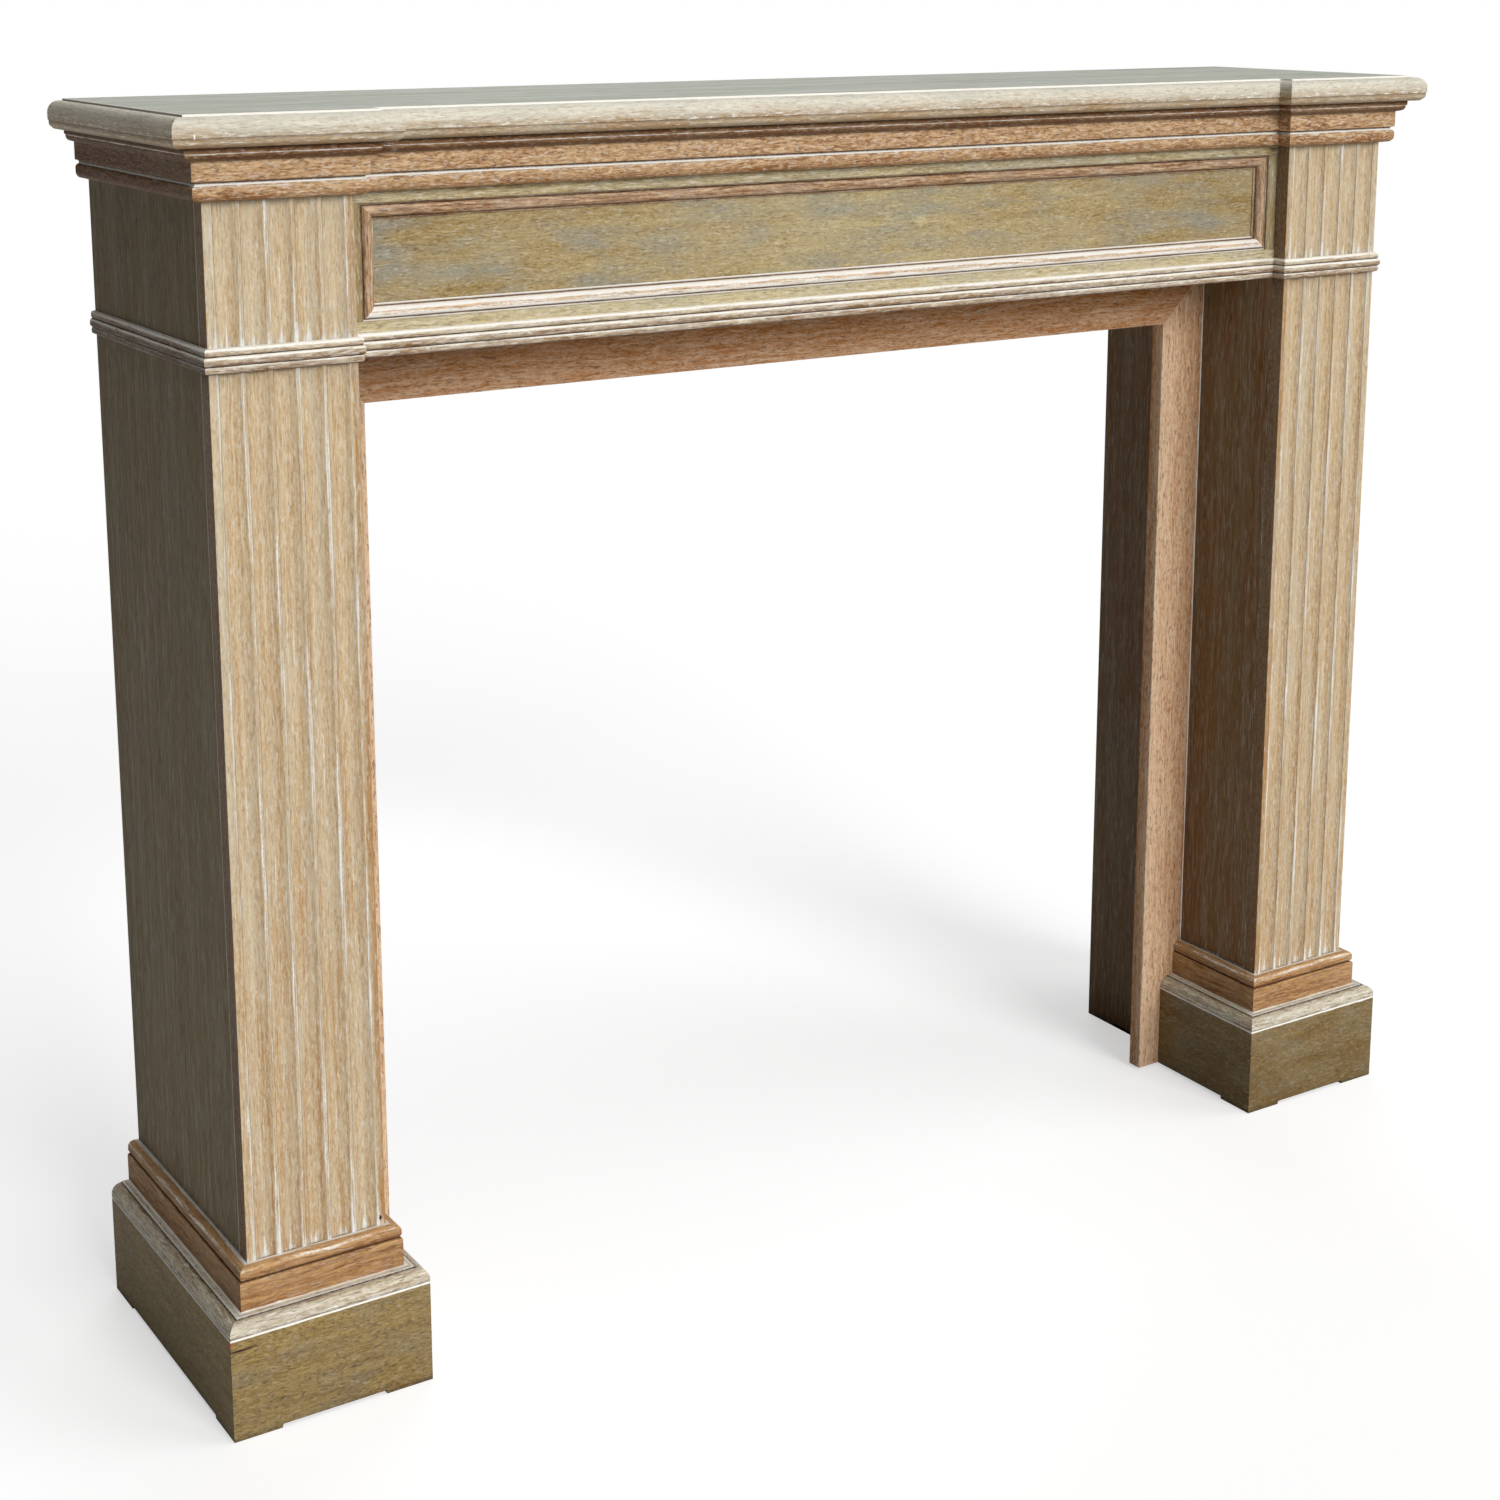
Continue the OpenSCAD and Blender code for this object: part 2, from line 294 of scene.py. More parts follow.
        # The flecks of paste are a little longer and wider than the open pores.
        fleck = pattern((self.pore_mm[0] * 1.3, self.pore_mm[1] * 1.1), 1.0, 0.57, 0.68, 11.9)
        cloud = pattern(self.haze_mm, 4.0, 0.42, 0.62, 17.7)
        veil = pattern(self.bloom_mm, 5.0, 0.46, 0.68, 23.1)
        broken = pattern(self.lime_run_mm, 3.0, 0.25, 0.75, 29.5)
        speck = pattern(self.grit_mm, 1.0, 0.30, 0.70, 31.3)

        # Stain, from the tone given to each point, which also carries painted shade, then haze,
        # bloom and the open pores over it.
        stained = swayed(swayed(swayed(browned, streak, self.streaks * 2), speck, self.grit),
                         fibre, self.fibres, True)
        colour = coat(linear(self.light), self.brown, stained)
        colour = coat(colour, self.haze, cloud, self.hazed)
        if self.bloomed:
            colour = coat(colour, self.bloom, veil, self.bloomed)
        colour = coat(colour, self.crevice, pore, self.pores)
        # Paste in broken runs along the quirks, and in the pores, with dirt and painted shade over both.
        bite = swayed(swayed(pasted, broken, PASTE_BROKEN), speck, PASTE_GRITTY)
        in_quirks = add(tree, "MapRange", {0: bite, 1: PASTE_SHOWS, 2: PASTE_SOLID}).outputs[0]
        in_pores = add(tree, "Math", {0: fleck, 1: self.flecks}, operation="MULTIPLY").outputs[0]
        limed = add(tree, "Math", {0: in_quirks, 1: in_pores}, operation="MAXIMUM").outputs[0]
        colour = coat(colour, self.lime, limed)
        colour = coat(colour, self.crevice, dirt_and_shade, swayed(DIRT_AND_SHADE_COVERS, speck, DIRT_AND_SHADE_GRITTY))
        place = add(tree, "TexCoord").outputs["Object"]
        for mark in self.marks:
            away = add(tree, "VectorMath", {0: place, 1: mark.place()}, operation="SUBTRACT")
            size = tuple(1 / (half * MM) for half in mark.half_mm)
            span = add(tree, "VectorMath", {0: away.outputs[0], 1: size}, operation="MULTIPLY")
            far = add(tree, "VectorMath", {0: span.outputs[0]}, operation="LENGTH").outputs["Value"]
            cover = add(tree, "MapRange", {0: swayed(far, speck, MARK_RAGGED), 1: MARK_FADES,
                                           2: MARK_SOLID, 4: mark.strength})
            colour = coat(colour, mark.colour, cover.outputs[0])

        # The pores sink, and the hard grain between them stands up.
        height: object = 0.0
        for layer, weight in ((pore, -0.9), (fibre, 0.5), (streak, 0.4), (speck, 0.3)):
            height = add(tree, "Math", {0: layer, 1: weight, 2: height},
                         operation="MULTIPLY_ADD").outputs[0]
        bump = add(tree, "Bump", {"Strength": RELIEF_SHOWN, "Distance": self.relief_mm * MM,
                                  "Height": height})
        rough = add(tree, "Math", {0: limed, 1: PASTE_ROUGHER, 2: self.roughness},
                    operation="MULTIPLY_ADD")
        shader = add(tree, "BsdfPrincipled",
                     {"Base Color": colour, "Roughness": rough.outputs[0],
                      "Specular IOR Level": WAX_SHINE, "Normal": bump.outputs[0]})
        add(tree, "OutputMaterial", {"Surface": shader.outputs[0]})
        return made


WORMHOLE = "#1d130b"

# Each finish is the same limed hardwood, rubbed back and stained to its own depth.
FINISHES = {
    # A wide board brushed along its length and rubbed with grey paste: long soft streaks with a
    # cool sheen, and a few wormholes over the right leg. The pale grey is partly paste and partly
    # painted sheen, a painted reflection of bright surroundings.
    Slot.SHELF: LimedWood(
        "brushed_grey_limed_top_painted_sheen", "#d2d5c9", "#adaf9b", "#d0d4d0", crevice="#4a4838", bloom="#8e9385",
        streak_mm=(420.0, 7.0), streaks=0.8, fibre_mm=(70.0, 2.2), fibres=0.8, pore_mm=(40.0, 1.8),
        pores=0.25, flecks=0.35, bloomed=0.5, bloom_mm=(300.0, 20.0), roughness=0.5, relief_mm=0.3,
        marks=(Mark("shelf_board", (0.895, 0.145, 1.0), (2.2, 2.2, 2.0), WORMHOLE),
               Mark("shelf_board", (0.91, 0.17, 1.0), (2.6, 2.0, 2.0), WORMHOLE),
               Mark("shelf_board", (0.915, 0.145, 1.0), (1.8, 2.0, 2.0), WORMHOLE),
               Mark("shelf_board", (0.885, 0.195, 1.0), (1.6, 1.6, 2.0), "#2d2014"))),
    # Moulded and rubbed thickly with paste, then worn by hands: cream on top, brown below with
    # broken white flecks.
    Slot.NOSING: LimedWood(
        "cream_limed_nosing", "#dbd6c6", "#a58459", "#cfc9b6", crevice="#4b341e", bloom="#b0b0a2",
        streak_mm=(80.0, 3.5), streaks=0.2, fibre_mm=(14.0, 2.0), fibres=0.3, pore_mm=(8.0, 1.8),
        pores=0.25, flecks=0.25, grit=0.2, hazed=0.3, bloomed=0.35, lime_run_mm=(12.0, 2.0),
        marks=(Mark("nosing_left_front", (0.092, 0.0, 0.357), (0.8, 4.0, 3.0), "#f6f3ea"),)),
    # Moulded across wild grain and stained orange before liming: short curly flecks, white lines
    # in the quirks.
    Slot.CORNICE: LimedWood(
        "orange_limed_cornice", "#d2af85", "#8a5c31", "#c2a47b", crevice="#3d230d",
        streak_mm=(32.0, 2.8), streaks=0.45, fibre_mm=(8.0, 1.9), fibres=0.8, pore_mm=(6.5, 1.8),
        pores=0.5, flecks=0.3, hazed=0.3, sway_mm=(26.0, 2.0), lime_run_mm=(16.0, 2.2)),
    # Three small reeds packed with paste: white lines between dark ones.
    Slot.COLLAR: LimedWood(
        "white_limed_collar", "#d2c3a8", "#84603c", "#d6cfc2", streak_mm=(60.0, 2.5), streaks=0.3,
        pores=0.35, flecks=0.45, hazed=0.3, lime_run_mm=(50.0, 2.5)),
    # Straight-grained boards fluted with a round cutter, brushed and limed: fine upright grain,
    # thin pale arrises and broken runs of paste.
    Slot.FLUTES: LimedWood(
        "tan_limed_flutes", "#cfbb98", "#a77f50", "#c2b9a2", lime="#e2e2dc", crevice="#54391f",
        streak_mm=(260.0, 2.6), streaks=0.32, fibre_mm=(12.0, 1.7), fibres=0.45, pore_mm=(9.0, 1.7),
        pores=0.22, flecks=0.3, haze_mm=(180.0, 9.0), hazed=0.45, lime_run_mm=(60.0, 2.2),
        marks=(Mark("left_fluted_board", (0.964, 0.0, 0.137), (1.5, 3.0, 2.2), "#1d130a"),)),
    # Flat boards stained dark olive and rubbed back: quiet, with thin grey streaks of paste.
    Slot.SIDES: LimedWood(
        "olive_limed_sides", "#83744e", "#795327", "#756a48", lime="#d4d4ce", crevice="#241c0f",
        bloom="#b4b5ac", streak_mm=(300.0, 6.0), streaks=0.2, fibre_mm=(36.0, 1.9), fibres=0.35,
        pore_mm=(18.0, 1.8), pores=0.35, flecks=0.2, haze_mm=(260.0, 40.0), hazed=0.35, bloomed=0.22,
        bloom_mm=(170.0, 7.0), lime_run_mm=(30.0, 2.4), roughness=0.62),
    # Narrow rails, stained olive and limed: pale khaki with brown showing at the edges.
    Slot.FRIEZE: LimedWood(
        "olive_limed_rails", "#cabb93", "#8b713d", "#b8ad8f", bloom="#a9a898",
        streak_mm=(110.0, 4.0), streaks=0.35, pores=0.35, flecks=0.3, bloomed=0.4),
    # A thin flat panel, wiped unevenly: khaki with cloudy grey-blue patches and white specks.
    Slot.PANEL: LimedWood(
        "khaki_limed_panel", "#b7a578", "#856934", "#ab9c79", bloom="#878980",
        streak_mm=(120.0, 9.0), streaks=0.22, fibre_mm=(12.0, 1.9), fibres=0.45, pore_mm=(6.0, 1.8),
        pores=0.3, flecks=0.16, haze_mm=(150.0, 50.0), hazed=0.5, bloomed=0.65, bloom_mm=(85.0, 26.0),
        grit=0.4, marks=(Mark("frieze_panel", (0.568, 0.0, 0.538), (8.0, 5.0, 6.0), "#d6c694", 0.35),)),
    # A small moulding, stained brown: white only where the paste could settle.
    Slot.PANEL_MOULD: LimedWood(
        "brown_limed_panel_mould", "#d3b28b", "#80552f", "#c4af97", lime="#ebe7df",
        streak_mm=(50.0, 2.4), pores=0.4, flecks=0.25, lime_run_mm=(60.0, 2.2)),
    # Plain slips of a redder board with curly grain, hardly limed: brown above, pinkish tan below,
    # the brown above being painted shade under the soffit.
    Slot.SLIPS: LimedWood(
        "reddish_limed_slips", "#d9bb9b", "#a86b2f", "#c9a782", crevice="#52300f",
        streak_mm=(90.0, 4.0), streaks=0.3, fibre_mm=(12.0, 1.9), fibres=0.45, pore_mm=(9.0, 1.9),
        pores=0.55, flecks=0.1, hazed=0.15, sway_mm=(55.0, 3.0)),
    # Thick blocks near the ground, scuffed and damp-stained: khaki with fine dark mottling, a
    # crack and an orange chip at one corner.
    Slot.PLINTH: LimedWood(
        "scuffed_limed_plinth", "#a58c56", "#6f572b", "#958562", bloom="#7c7564", crevice="#2e2110",
        streak_mm=(60.0, 7.0), streaks=0.28, fibre_mm=(9.0, 2.0), fibres=0.5, pore_mm=(6.0, 1.9),
        pores=0.45, flecks=0.1, hazed=0.3, bloomed=0.35, bloom_mm=(60.0, 30.0), sway_mm=(40.0, 2.5),
        grit=0.45,
        marks=(Mark("left_plinth_front", (0.0545, 0.0, 0.888), (14.0, 4.0, 1.1), "#331a0a"),
               Mark("left_plinth_front", (0.0, 0.0, 0.956), (3.0, 5.0, 2.6), "#a9642f", 0.9))),
    # A hollow-and-round moulding where paste was left thick: pale grey, brown at the worn edge.
    Slot.CAP: LimedWood(
        "grey_limed_cap", "#d0c7b0", "#8b6c42", "#c6bfae", streak_mm=(60.0, 2.6), streaks=0.35,
        pores=0.45, flecks=0.5, lime_run_mm=(16.0, 2.2)),
    # A band and a small round of straight-grained wood stained orange: brown lines in the quirk,
    # paste on the top.
    Slot.BASE: LimedWood(
        "orange_limed_base", "#bd925e", "#7d5027", "#b2906a", crevice="#4a2a12", streak_mm=(90.0, 3.0),
        streaks=0.5, fibre_mm=(18.0, 1.9), fibres=0.5, pore_mm=(11.0, 1.8), pores=0.4, flecks=0.14,
        sway_mm=(70.0, 3.0), lime_run_mm=(70.0, 3.2)),
}


# ---------------------------------------------------------------- profiles


@dataclass(frozen=True)
class Corner:
    """A corner of a profile, in millimetres, with the finish that has settled on it.

    out is the distance from the piece's back, up the height from its foot, and radius the
    rounding. lime is how much paste it holds, dark how much dirt and painted shade darken it,
    tone how brown it is made there, by stain and painted shade, and spread how far the paste and
    dark reach.
    """

    out: float
    up: float
    radius: float = 0.4
    lime: float = 0.0
    dark: float = 0.0
    tone: float = 0.5
    spread: float = 1.0


@dataclass
class Outline:
    """A closed profile: its points in metres, and the lime, dirt and painted shade, and tone at each."""

    points: np.ndarray
    patina: np.ndarray


def outline(corners: list[Corner]) -> Outline:
    """Rounds a profile's corners and spreads the finish that has settled on them.

    Args:
        corners: the corners in order, anticlockwise.

    Returns:
        The closed outline.
    """
    count = len(corners)
    place = np.array([(c.out, c.up) for c in corners])
    points: list[np.ndarray] = []
    middles: list[int] = []
    for i, corner in enumerate(corners):
        back = place[i - 1] - place[i]
        ahead = place[(i + 1) % count] - place[i]
        back_len, ahead_len = np.linalg.norm(back), np.linalg.norm(ahead)
        back, ahead = back / back_len, ahead / ahead_len
        between = math.acos(float(np.clip(back @ ahead, -1, 1)))
        turn = math.pi - between
        if turn < LEAST_TURN or corner.radius <= 0:
            middles.append(len(points))
            points.append(place[i])
            continue
        reach = min(corner.radius / math.tan(between / 2), MOST_OF_SIDE * min(back_len, ahead_len))
        radius = reach * math.tan(between / 2)
        halfway = (back + ahead) / np.linalg.norm(back + ahead)
        centre = place[i] + halfway * radius / math.sin(between / 2)
        steps = max(2, math.ceil(turn / ARC_STEP)) if radius > FINE_RADIUS_MM else 2
        first = place[i] + back * reach - centre
        spin = 1.0 if back[0] * ahead[1] - back[1] * ahead[0] < 0 else -1.0
        middles.append(len(points) + steps // 2)
        for k in range(steps + 1):
            a = spin * turn * k / steps
            turned = np.array([first[0] * math.cos(a) - first[1] * math.sin(a),
                               first[0] * math.sin(a) + first[1] * math.cos(a)])
            points.append(centre + turned)
    rough = np.array(points)
    full: list[np.ndarray] = []
    marks = []
    for i, point in enumerate(rough):
        if i in middles:
            marks.append(len(full))
        full.append(point)
        gap = rough[(i + 1) % len(rough)] - point
        length = float(np.linalg.norm(gap))
        if length > 2.5 * NEAR_CORNER_MM[-1]:
            near = [d / length for d in NEAR_CORNER_MM]
            full.extend(point + gap * t for t in near + [1 - t for t in reversed(near)])
    place = np.array(full)
    step = np.linalg.norm(np.roll(place, -1, axis=0) - place, axis=1)
    along = np.concatenate([[0.0], np.cumsum(step)[:-1]])
    total = float(step.sum())
    patina = np.zeros((len(place), 3))
    for corner, mark in zip(corners, marks):
        away = np.abs(along - along[mark])
        away = np.minimum(away, total - away)
        weight = np.exp(-((away / corner.spread) ** 2))
        patina[:, 0] = np.maximum(patina[:, 0], corner.lime * weight)
        patina[:, 1] = np.maximum(patina[:, 1], corner.dark * weight)
    at = np.array([along[m] for m in marks])
    tones = np.array([c.tone for c in corners])
    order = np.argsort(at)
    patina[:, 2] = np.interp(along, np.concatenate([at[order], [at[order][0] + total]]),
                             np.concatenate([tones[order], [tones[order][0]]]))
    return Outline(place * MM, patina)


def size_mm(node: str) -> Vec:
    """A node's sizes along X, Y and Z in millimetres."""
    low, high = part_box(node)
    return ((high.x - low.x) / MM, (high.y - low.y) / MM, (high.z - low.z) / MM)


# ---------------------------------------------------------------- sweeping pieces


@dataclass
class Shape:
    """A closed mesh in the frame, with the grain and patina of its points."""

    points: np.ndarray
    faces: list[tuple[int, ...]]
    patina: np.ndarray


@dataclass(frozen=True)
class Route:
    """Where a straight piece runs: its start, its directions, its length and how it is cut.

    A cut of 1 is a mitre for a corner that turns away from the moulding, -1 one that turns
    towards it, and 0 a square end.
    """

    origin: Vec
    run: Vec
    out: Vec
    up: Vec
    length: float
    start: int = 0
    end: int = 0


def ring_faces(rings: int, wide: int) -> list[tuple[int, ...]]:
    """The faces between rings of points, and the two that close their ends.

    Args:
        rings: how many rings there are.
        wide: how many points each has.

    Returns:
        The faces, by the numbers of their points.
    """
    faces: list[tuple[int, ...]] = []
    for j in range(rings - 1):
        for i in range(wide):
            k = (i + 1) % wide
            faces.append((j * wide + i, j * wide + k, (j + 1) * wide + k, (j + 1) * wide + i))
    faces.append(tuple(reversed(range(wide))))
    faces.append(tuple((rings - 1) * wide + i for i in range(wide)))
    return faces


def sweep(line: Outline, route: Route, rings: tuple[float, ...] = (), lift: Callable | None = None,
          settle: Callable | None = None, begin: np.ndarray | None = None,
          finish: np.ndarray | None = None) -> Shape:
    """Runs a profile along a route and cuts its ends.

    Args:
        line: the profile.
        route: where it runs.
        rings: places along the run that need a ring of points of their own.
        lift: changes the profile's (run, out, up) points, such as for pads.
        settle: changes the patina by (run, out, up), such as for paste pooled at an end.
        begin: where each point of the profile starts along the run, in place of a mitre.
        finish: where each point ends.

    Returns:
        The closed shape.
    """
    out, up = line.points[:, 0], line.points[:, 1]
    first = -route.start * out if begin is None else begin
    last = route.length + route.end * out if finish is None else finish
    low, high = float(first.max()), float(last.min())
    margin = min(END_MARGIN, (high - low) / 4)
    count = max(2, math.ceil((high - low) / RING_STEP))
    inner = np.linspace(low + margin, high - margin, count)
    inner = np.unique(np.concatenate([inner, [r for r in rings if low + margin < r < high - margin]]))
    runs = np.vstack([first, *[np.full(len(out), x) for x in inner], last])
    grid = np.stack([runs, np.broadcast_to(out, runs.shape), np.broadcast_to(up, runs.shape)], axis=-1)
    patina = np.broadcast_to(line.patina, (len(runs), *line.patina.shape)).copy()
    if settle is not None:
        patina = settle(grid, patina)
    if lift is not None:
        grid = lift(grid)
    basis = np.array([route.run, route.out, route.up])
    world = grid.reshape(-1, 3) @ basis + np.array(route.origin)
    return Shape(world, ring_faces(len(runs), len(out)), patina.reshape(-1, 3))


def mirrored(shape: Shape) -> Shape:
    """Turns a left-hand shape into the right-hand one."""
    faces = [tuple(reversed(face)) for face in shape.faces]
    return Shape(shape.points * np.array([-1.0, 1.0, 1.0]), faces, shape.patina)


def outward(shape: Shape) -> bool:
    """Tells whether a shape's faces look outwards, from its signed volume."""
    volume = 0.0
    for face in shape.faces:
        a = shape.points[face[0]]
        for b, c in zip(face[1:-1], face[2:]):
            volume += float(np.dot(a, np.cross(shape.points[b], shape.points[c])))
    return volume > 0


class Side(Enum):
    """The two legs of the surround."""

    LEFT = "left"
    RIGHT = "right"


class Workshop:
    """Turns shapes into finished pieces that ride on the frame."""

    def __init__(self) -> None:
        """Starts with no piece made and each finish mixed once."""
        self.materials = {slot: finish.material() for slot, finish in FINISHES.items()}
        self.made = 0

    def piece(self, node: str, slot: Slot, shape: Shape, along: Vec) -> None:
        """Makes the piece that stands for a node.

        Args:
            node: the node it replaces.
            slot: its finish.
            shape: its mesh.
            along: the direction of its grain.
        """
        faces = shape.faces if outward(shape) else [tuple(reversed(f)) for f in shape.faces]
        mesh = bpy.data.meshes.new(node)
        mesh.from_pydata([tuple(p) for p in shape.points], [], faces)
        run = np.array(along, float)
        side = np.array([0.0, 0.0, 1.0]) if abs(run[2]) < 0.5 else np.array([1.0, 0.0, 0.0])
        third = np.cross(run, side)
        offset = np.array(GRAIN_SHIFT) * (self.made + 1)
        grain = shape.points @ np.array([run, side, third]).T + offset
        for name, values in (("grain", grain), ("patina", shape.patina)):
            kept = mesh.attributes.new(name, "FLOAT_VECTOR", "POINT")
            kept.data.foreach_set("vector", values.astype(np.float32).ravel())
        mesh.shade_smooth()
        mesh.set_sharp_from_angle(angle=CRISP_EDGE)
        mesh.materials.append(self.materials[slot])
        made = bpy.data.objects.new(f"{node}_limed", mesh)
        bpy.context.scene.collection.objects.link(made)
        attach(made, "root")
        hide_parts(node)
        self.made += 1
        LOG.info("made %s with %d points", made.name, len(shape.points))

    def pair(self, node: str, slot: Slot, left: Shape, along: Vec, browner: float = 0.0) -> None:
        """Makes a piece on the left leg and its mirrored twin on the right.

        Args:
            node: the node's name, with a star for the side.
            slot: its finish.
            left: the left-hand shape.
            along: the direction of its grain.
            browner: how much browner the right-hand one is.
        """
        right = mirrored(left)
        right.patina = right.patina + np.array([0.0, 0.0, browner])
        for side, shape in ((Side.LEFT, left), (Side.RIGHT, right)):
            self.piece(node.replace("*", side.value), slot, shape, along)


# ---------------------------------------------------------------- the surround


class Face(Enum):
    """The faces of the surround that a moulding runs on."""

    CENTRE = "centre"
    RETURN = "return"
    OUTER = "outer"
    FRONT = "front"
    BREAK = "break"
    INNER = "inner"


@dataclass
class Surround:
    """The faces that the mouldings are planted on, read from the frame in metres."""

    outer_x: float = field(init=False)
    inner_x: float = field(init=False)
    wall_y: float = field(init=False)
    leg_y: float = field(init=False)
    centre_y: float = field(init=False)

    def __post_init__(self) -> None:
        """Reads the left leg's boards and the frieze."""
        low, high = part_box("left_fluted_board")
        self.outer_x, self.inner_x = -low.x, -high.x
        self.leg_y = low.y
        self.centre_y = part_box("frieze_top_rail")[0].y
        self.wall_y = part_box("left_outer_side")[1].y

    def route(self, where: Face, foot: float) -> Route:
        """Where a length of moulding runs on the left leg or between the legs.

        Args:
            where: the face it runs on.
            foot: the height of its foot.

        Returns:
            The route, with its mitres at the corners of that face.
        """
        left, inner = -self.outer_x, -self.inner_x
        depth = self.wall_y - self.leg_y
        step = self.centre_y - self.leg_y
        if where in (Face.RETURN, Face.OUTER):
            return Route((left, self.wall_y, foot), (0, -1, 0), (-1, 0, 0), Z_RUN, depth, 0, 1)
        if where is Face.FRONT:
            width = self.outer_x - self.inner_x
            return Route((left, self.leg_y, foot), X_RUN, (0, -1, 0), Z_RUN, width, 1, 1)
        if where is Face.BREAK:
            return Route((inner, self.leg_y, foot), Y_RUN, X_RUN, Z_RUN, step, 1, -1)
        if where is Face.INNER:
            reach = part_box("left_jamb_slip")[0].y - self.leg_y
            return Route((inner, self.leg_y, foot), Y_RUN, X_RUN, Z_RUN, reach, 1, 0)
        width = 2 * self.inner_x
        return Route((inner, self.centre_y, foot), X_RUN, (0, -1, 0), Z_RUN, width, -1, -1)


@dataclass
class Crown:
    """The nosing, cornice and collar, which follow both legs and the frieze between them.

    The nosing stands sunk_mm below the shelf board, and end_shade and browner are how much
    painted shade darkens and browns the ends of the other two.
    """

    workshop: Workshop
    surround: Surround
    sunk_mm: float = 1.8
    end_shade: float = 0.66
    browner: float = 0.3

    def nosing(self, limed_joint: bool = True) -> list[Corner]:
        """The nosing's profile: a wide round above a small one, with a fine quirk between.

        Args:
            limed_joint: whether its joint with the shelf board is full of paste, or dark: an open
            joint, with painted shade on the ends that face sideways.

        Returns:
            The corners of the profile.
        """
        low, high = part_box("nosing_centre")
        back = (self.surround.centre_y - high.y) / MM
        front = (self.surround.centre_y - low.y) / MM
        tall = (high.z - low.z) / MM - self.sunk_mm
        # Off the front the joint is dark: an open joint, with painted shade on the ends that face
        # sideways.
        joint = {"lime": 1.2, "spread": 0.9} if limed_joint else {"dark": 1.0, "spread": 0.9}
        return [
            Corner(back, 0, 0.3, dark=0.6, tone=0.9),
            Corner(front - 5.5, 0, 1.0, dark=0.55, tone=1.1, spread=2.2),
            Corner(front - 0.9, 4.0, 4.0, lime=0.42, tone=0.95, spread=2.0),
            Corner(front - 0.9, 8.2, 0.5, dark=0.5, lime=0.3, tone=0.9, spread=0.8),
            Corner(front, 8.9, 0.5, lime=0.5, tone=0.95, spread=1.6),
            Corner(front, 12.2, 0, lime=0.4, tone=0.65, spread=2.2),
            Corner(front, 15.0, 0, lime=0.3, tone=0.35, spread=2.5),
            Corner(front, tall - 0.2, 11.0, tone=0.08),
            Corner(back, tall, 0.3, tone=0.0, **joint),
        ]

    def cornice(self) -> list[Corner]:
        """The cornice's profile: bead, quirk, flat band, ovolo and fillet."""
        tall = size_mm("cornice_centre")[2]
        return [
            Corner(0, 0, 0.2, dark=0.7, tone=0.6),
            Corner(4.6, 0.6, 0.8, dark=0.8, tone=0.9, spread=2.4),
            Corner(11.9, 1.6, 6.0, tone=0.95),
            Corner(11.9, 14.4, 5.2, lime=0.5, tone=0.4, spread=2.0),
            Corner(8.4, 14.8, 0.6, lime=2.0, tone=0.1, spread=1.9),
            Corner(8.4, 17.2, 0.4, dark=1.0, tone=0.6, spread=1.0),
            Corner(12.1, 18.6, 0.6, lime=0.3, tone=0.55),
            Corner(12.1, tall - 12.4, 0.5, lime=0.2, tone=0.4),
            Corner(14.0, tall - 12.2, 0.4, dark=1.0, tone=1.0, spread=1.9),
            Corner(19.8, tall - 10.6, 5.0, dark=0.78, tone=1.25, spread=3.6),
            Corner(19.8, tall - 5.6, 0.3, lime=0.9, tone=0.9, spread=1.0),
            Corner(21.1, tall - 5.0, 0.4, tone=1.1),
            # Dark and brown along the top front: a dark joint, and painted shadow under the nosing's
            # overhang.
            Corner(21.1, tall, 0.3, dark=1.0, tone=1.1, spread=2.4),
            Corner(0, tall, 0.2, tone=0.6),
        ]

    def collar(self) -> list[Corner]:
        """The collar's profile: three reeds, the middle one the proudest."""
        return [
            Corner(0, 0, 0.2, dark=1.0, tone=0.9),
            Corner(1.4, 0.0, 0.5, dark=1.0, tone=0.9, spread=1.4),
            Corner(4.5, 1.2, 2.6, lime=0.35, tone=0.85),
            Corner(4.5, 6.6, 2.2, lime=0.85, tone=0.3, spread=1.3),
            Corner(2.6, 7.0, 0.3, dark=1.0, tone=0.9, spread=1.2),
            Corner(5.8, 7.8, 3.0, dark=0.25, tone=0.9, spread=1.2),
            Corner(5.8, 15.0, 3.2, lime=1.0, tone=0.15, spread=2.0),
            Corner(2.6, 15.8, 0.3, dark=1.0, tone=0.9, spread=1.2),
            Corner(4.4, 16.4, 2.0, lime=0.4, tone=0.5),
            Corner(4.4, 22.2, 2.6, lime=1.1, tone=0.1, spread=2.4),
            Corner(0, 23, 0.3, lime=1.8, tone=0.1, spread=1.6),
        ]

    def build(self) -> None:
        """Makes the three mouldings in their seven lengths."""
        dark_shaded_joint = outline(self.nosing(False))
        for slot, corners in ((Slot.NOSING, self.nosing()), (Slot.CORNICE, self.cornice()),
                              (Slot.COLLAR, self.collar())):
            line = outline(corners)
            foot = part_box(f"{slot.value}_centre")[0].z
            route = self.surround.route(Face.CENTRE, foot)
            self.workshop.piece(f"{slot.value}_centre", slot, sweep(line, route), route.run)
            for where in (Face.RETURN, Face.FRONT, Face.BREAK):
                route = self.surround.route(where, foot)
                # On the ends, painted shade: the nosing's joint is dark, and the cornice and collar
                # darker and browner.
                worn = dark_shaded_joint if slot is Slot.NOSING and where is Face.RETURN else line
                settle = self.shade_ends if slot is not Slot.NOSING and where is Face.RETURN else None
                left = sweep(worn, route, settle=settle)
                self.workshop.pair(f"{slot.value}_*_{where.value}", slot, left, route.run)

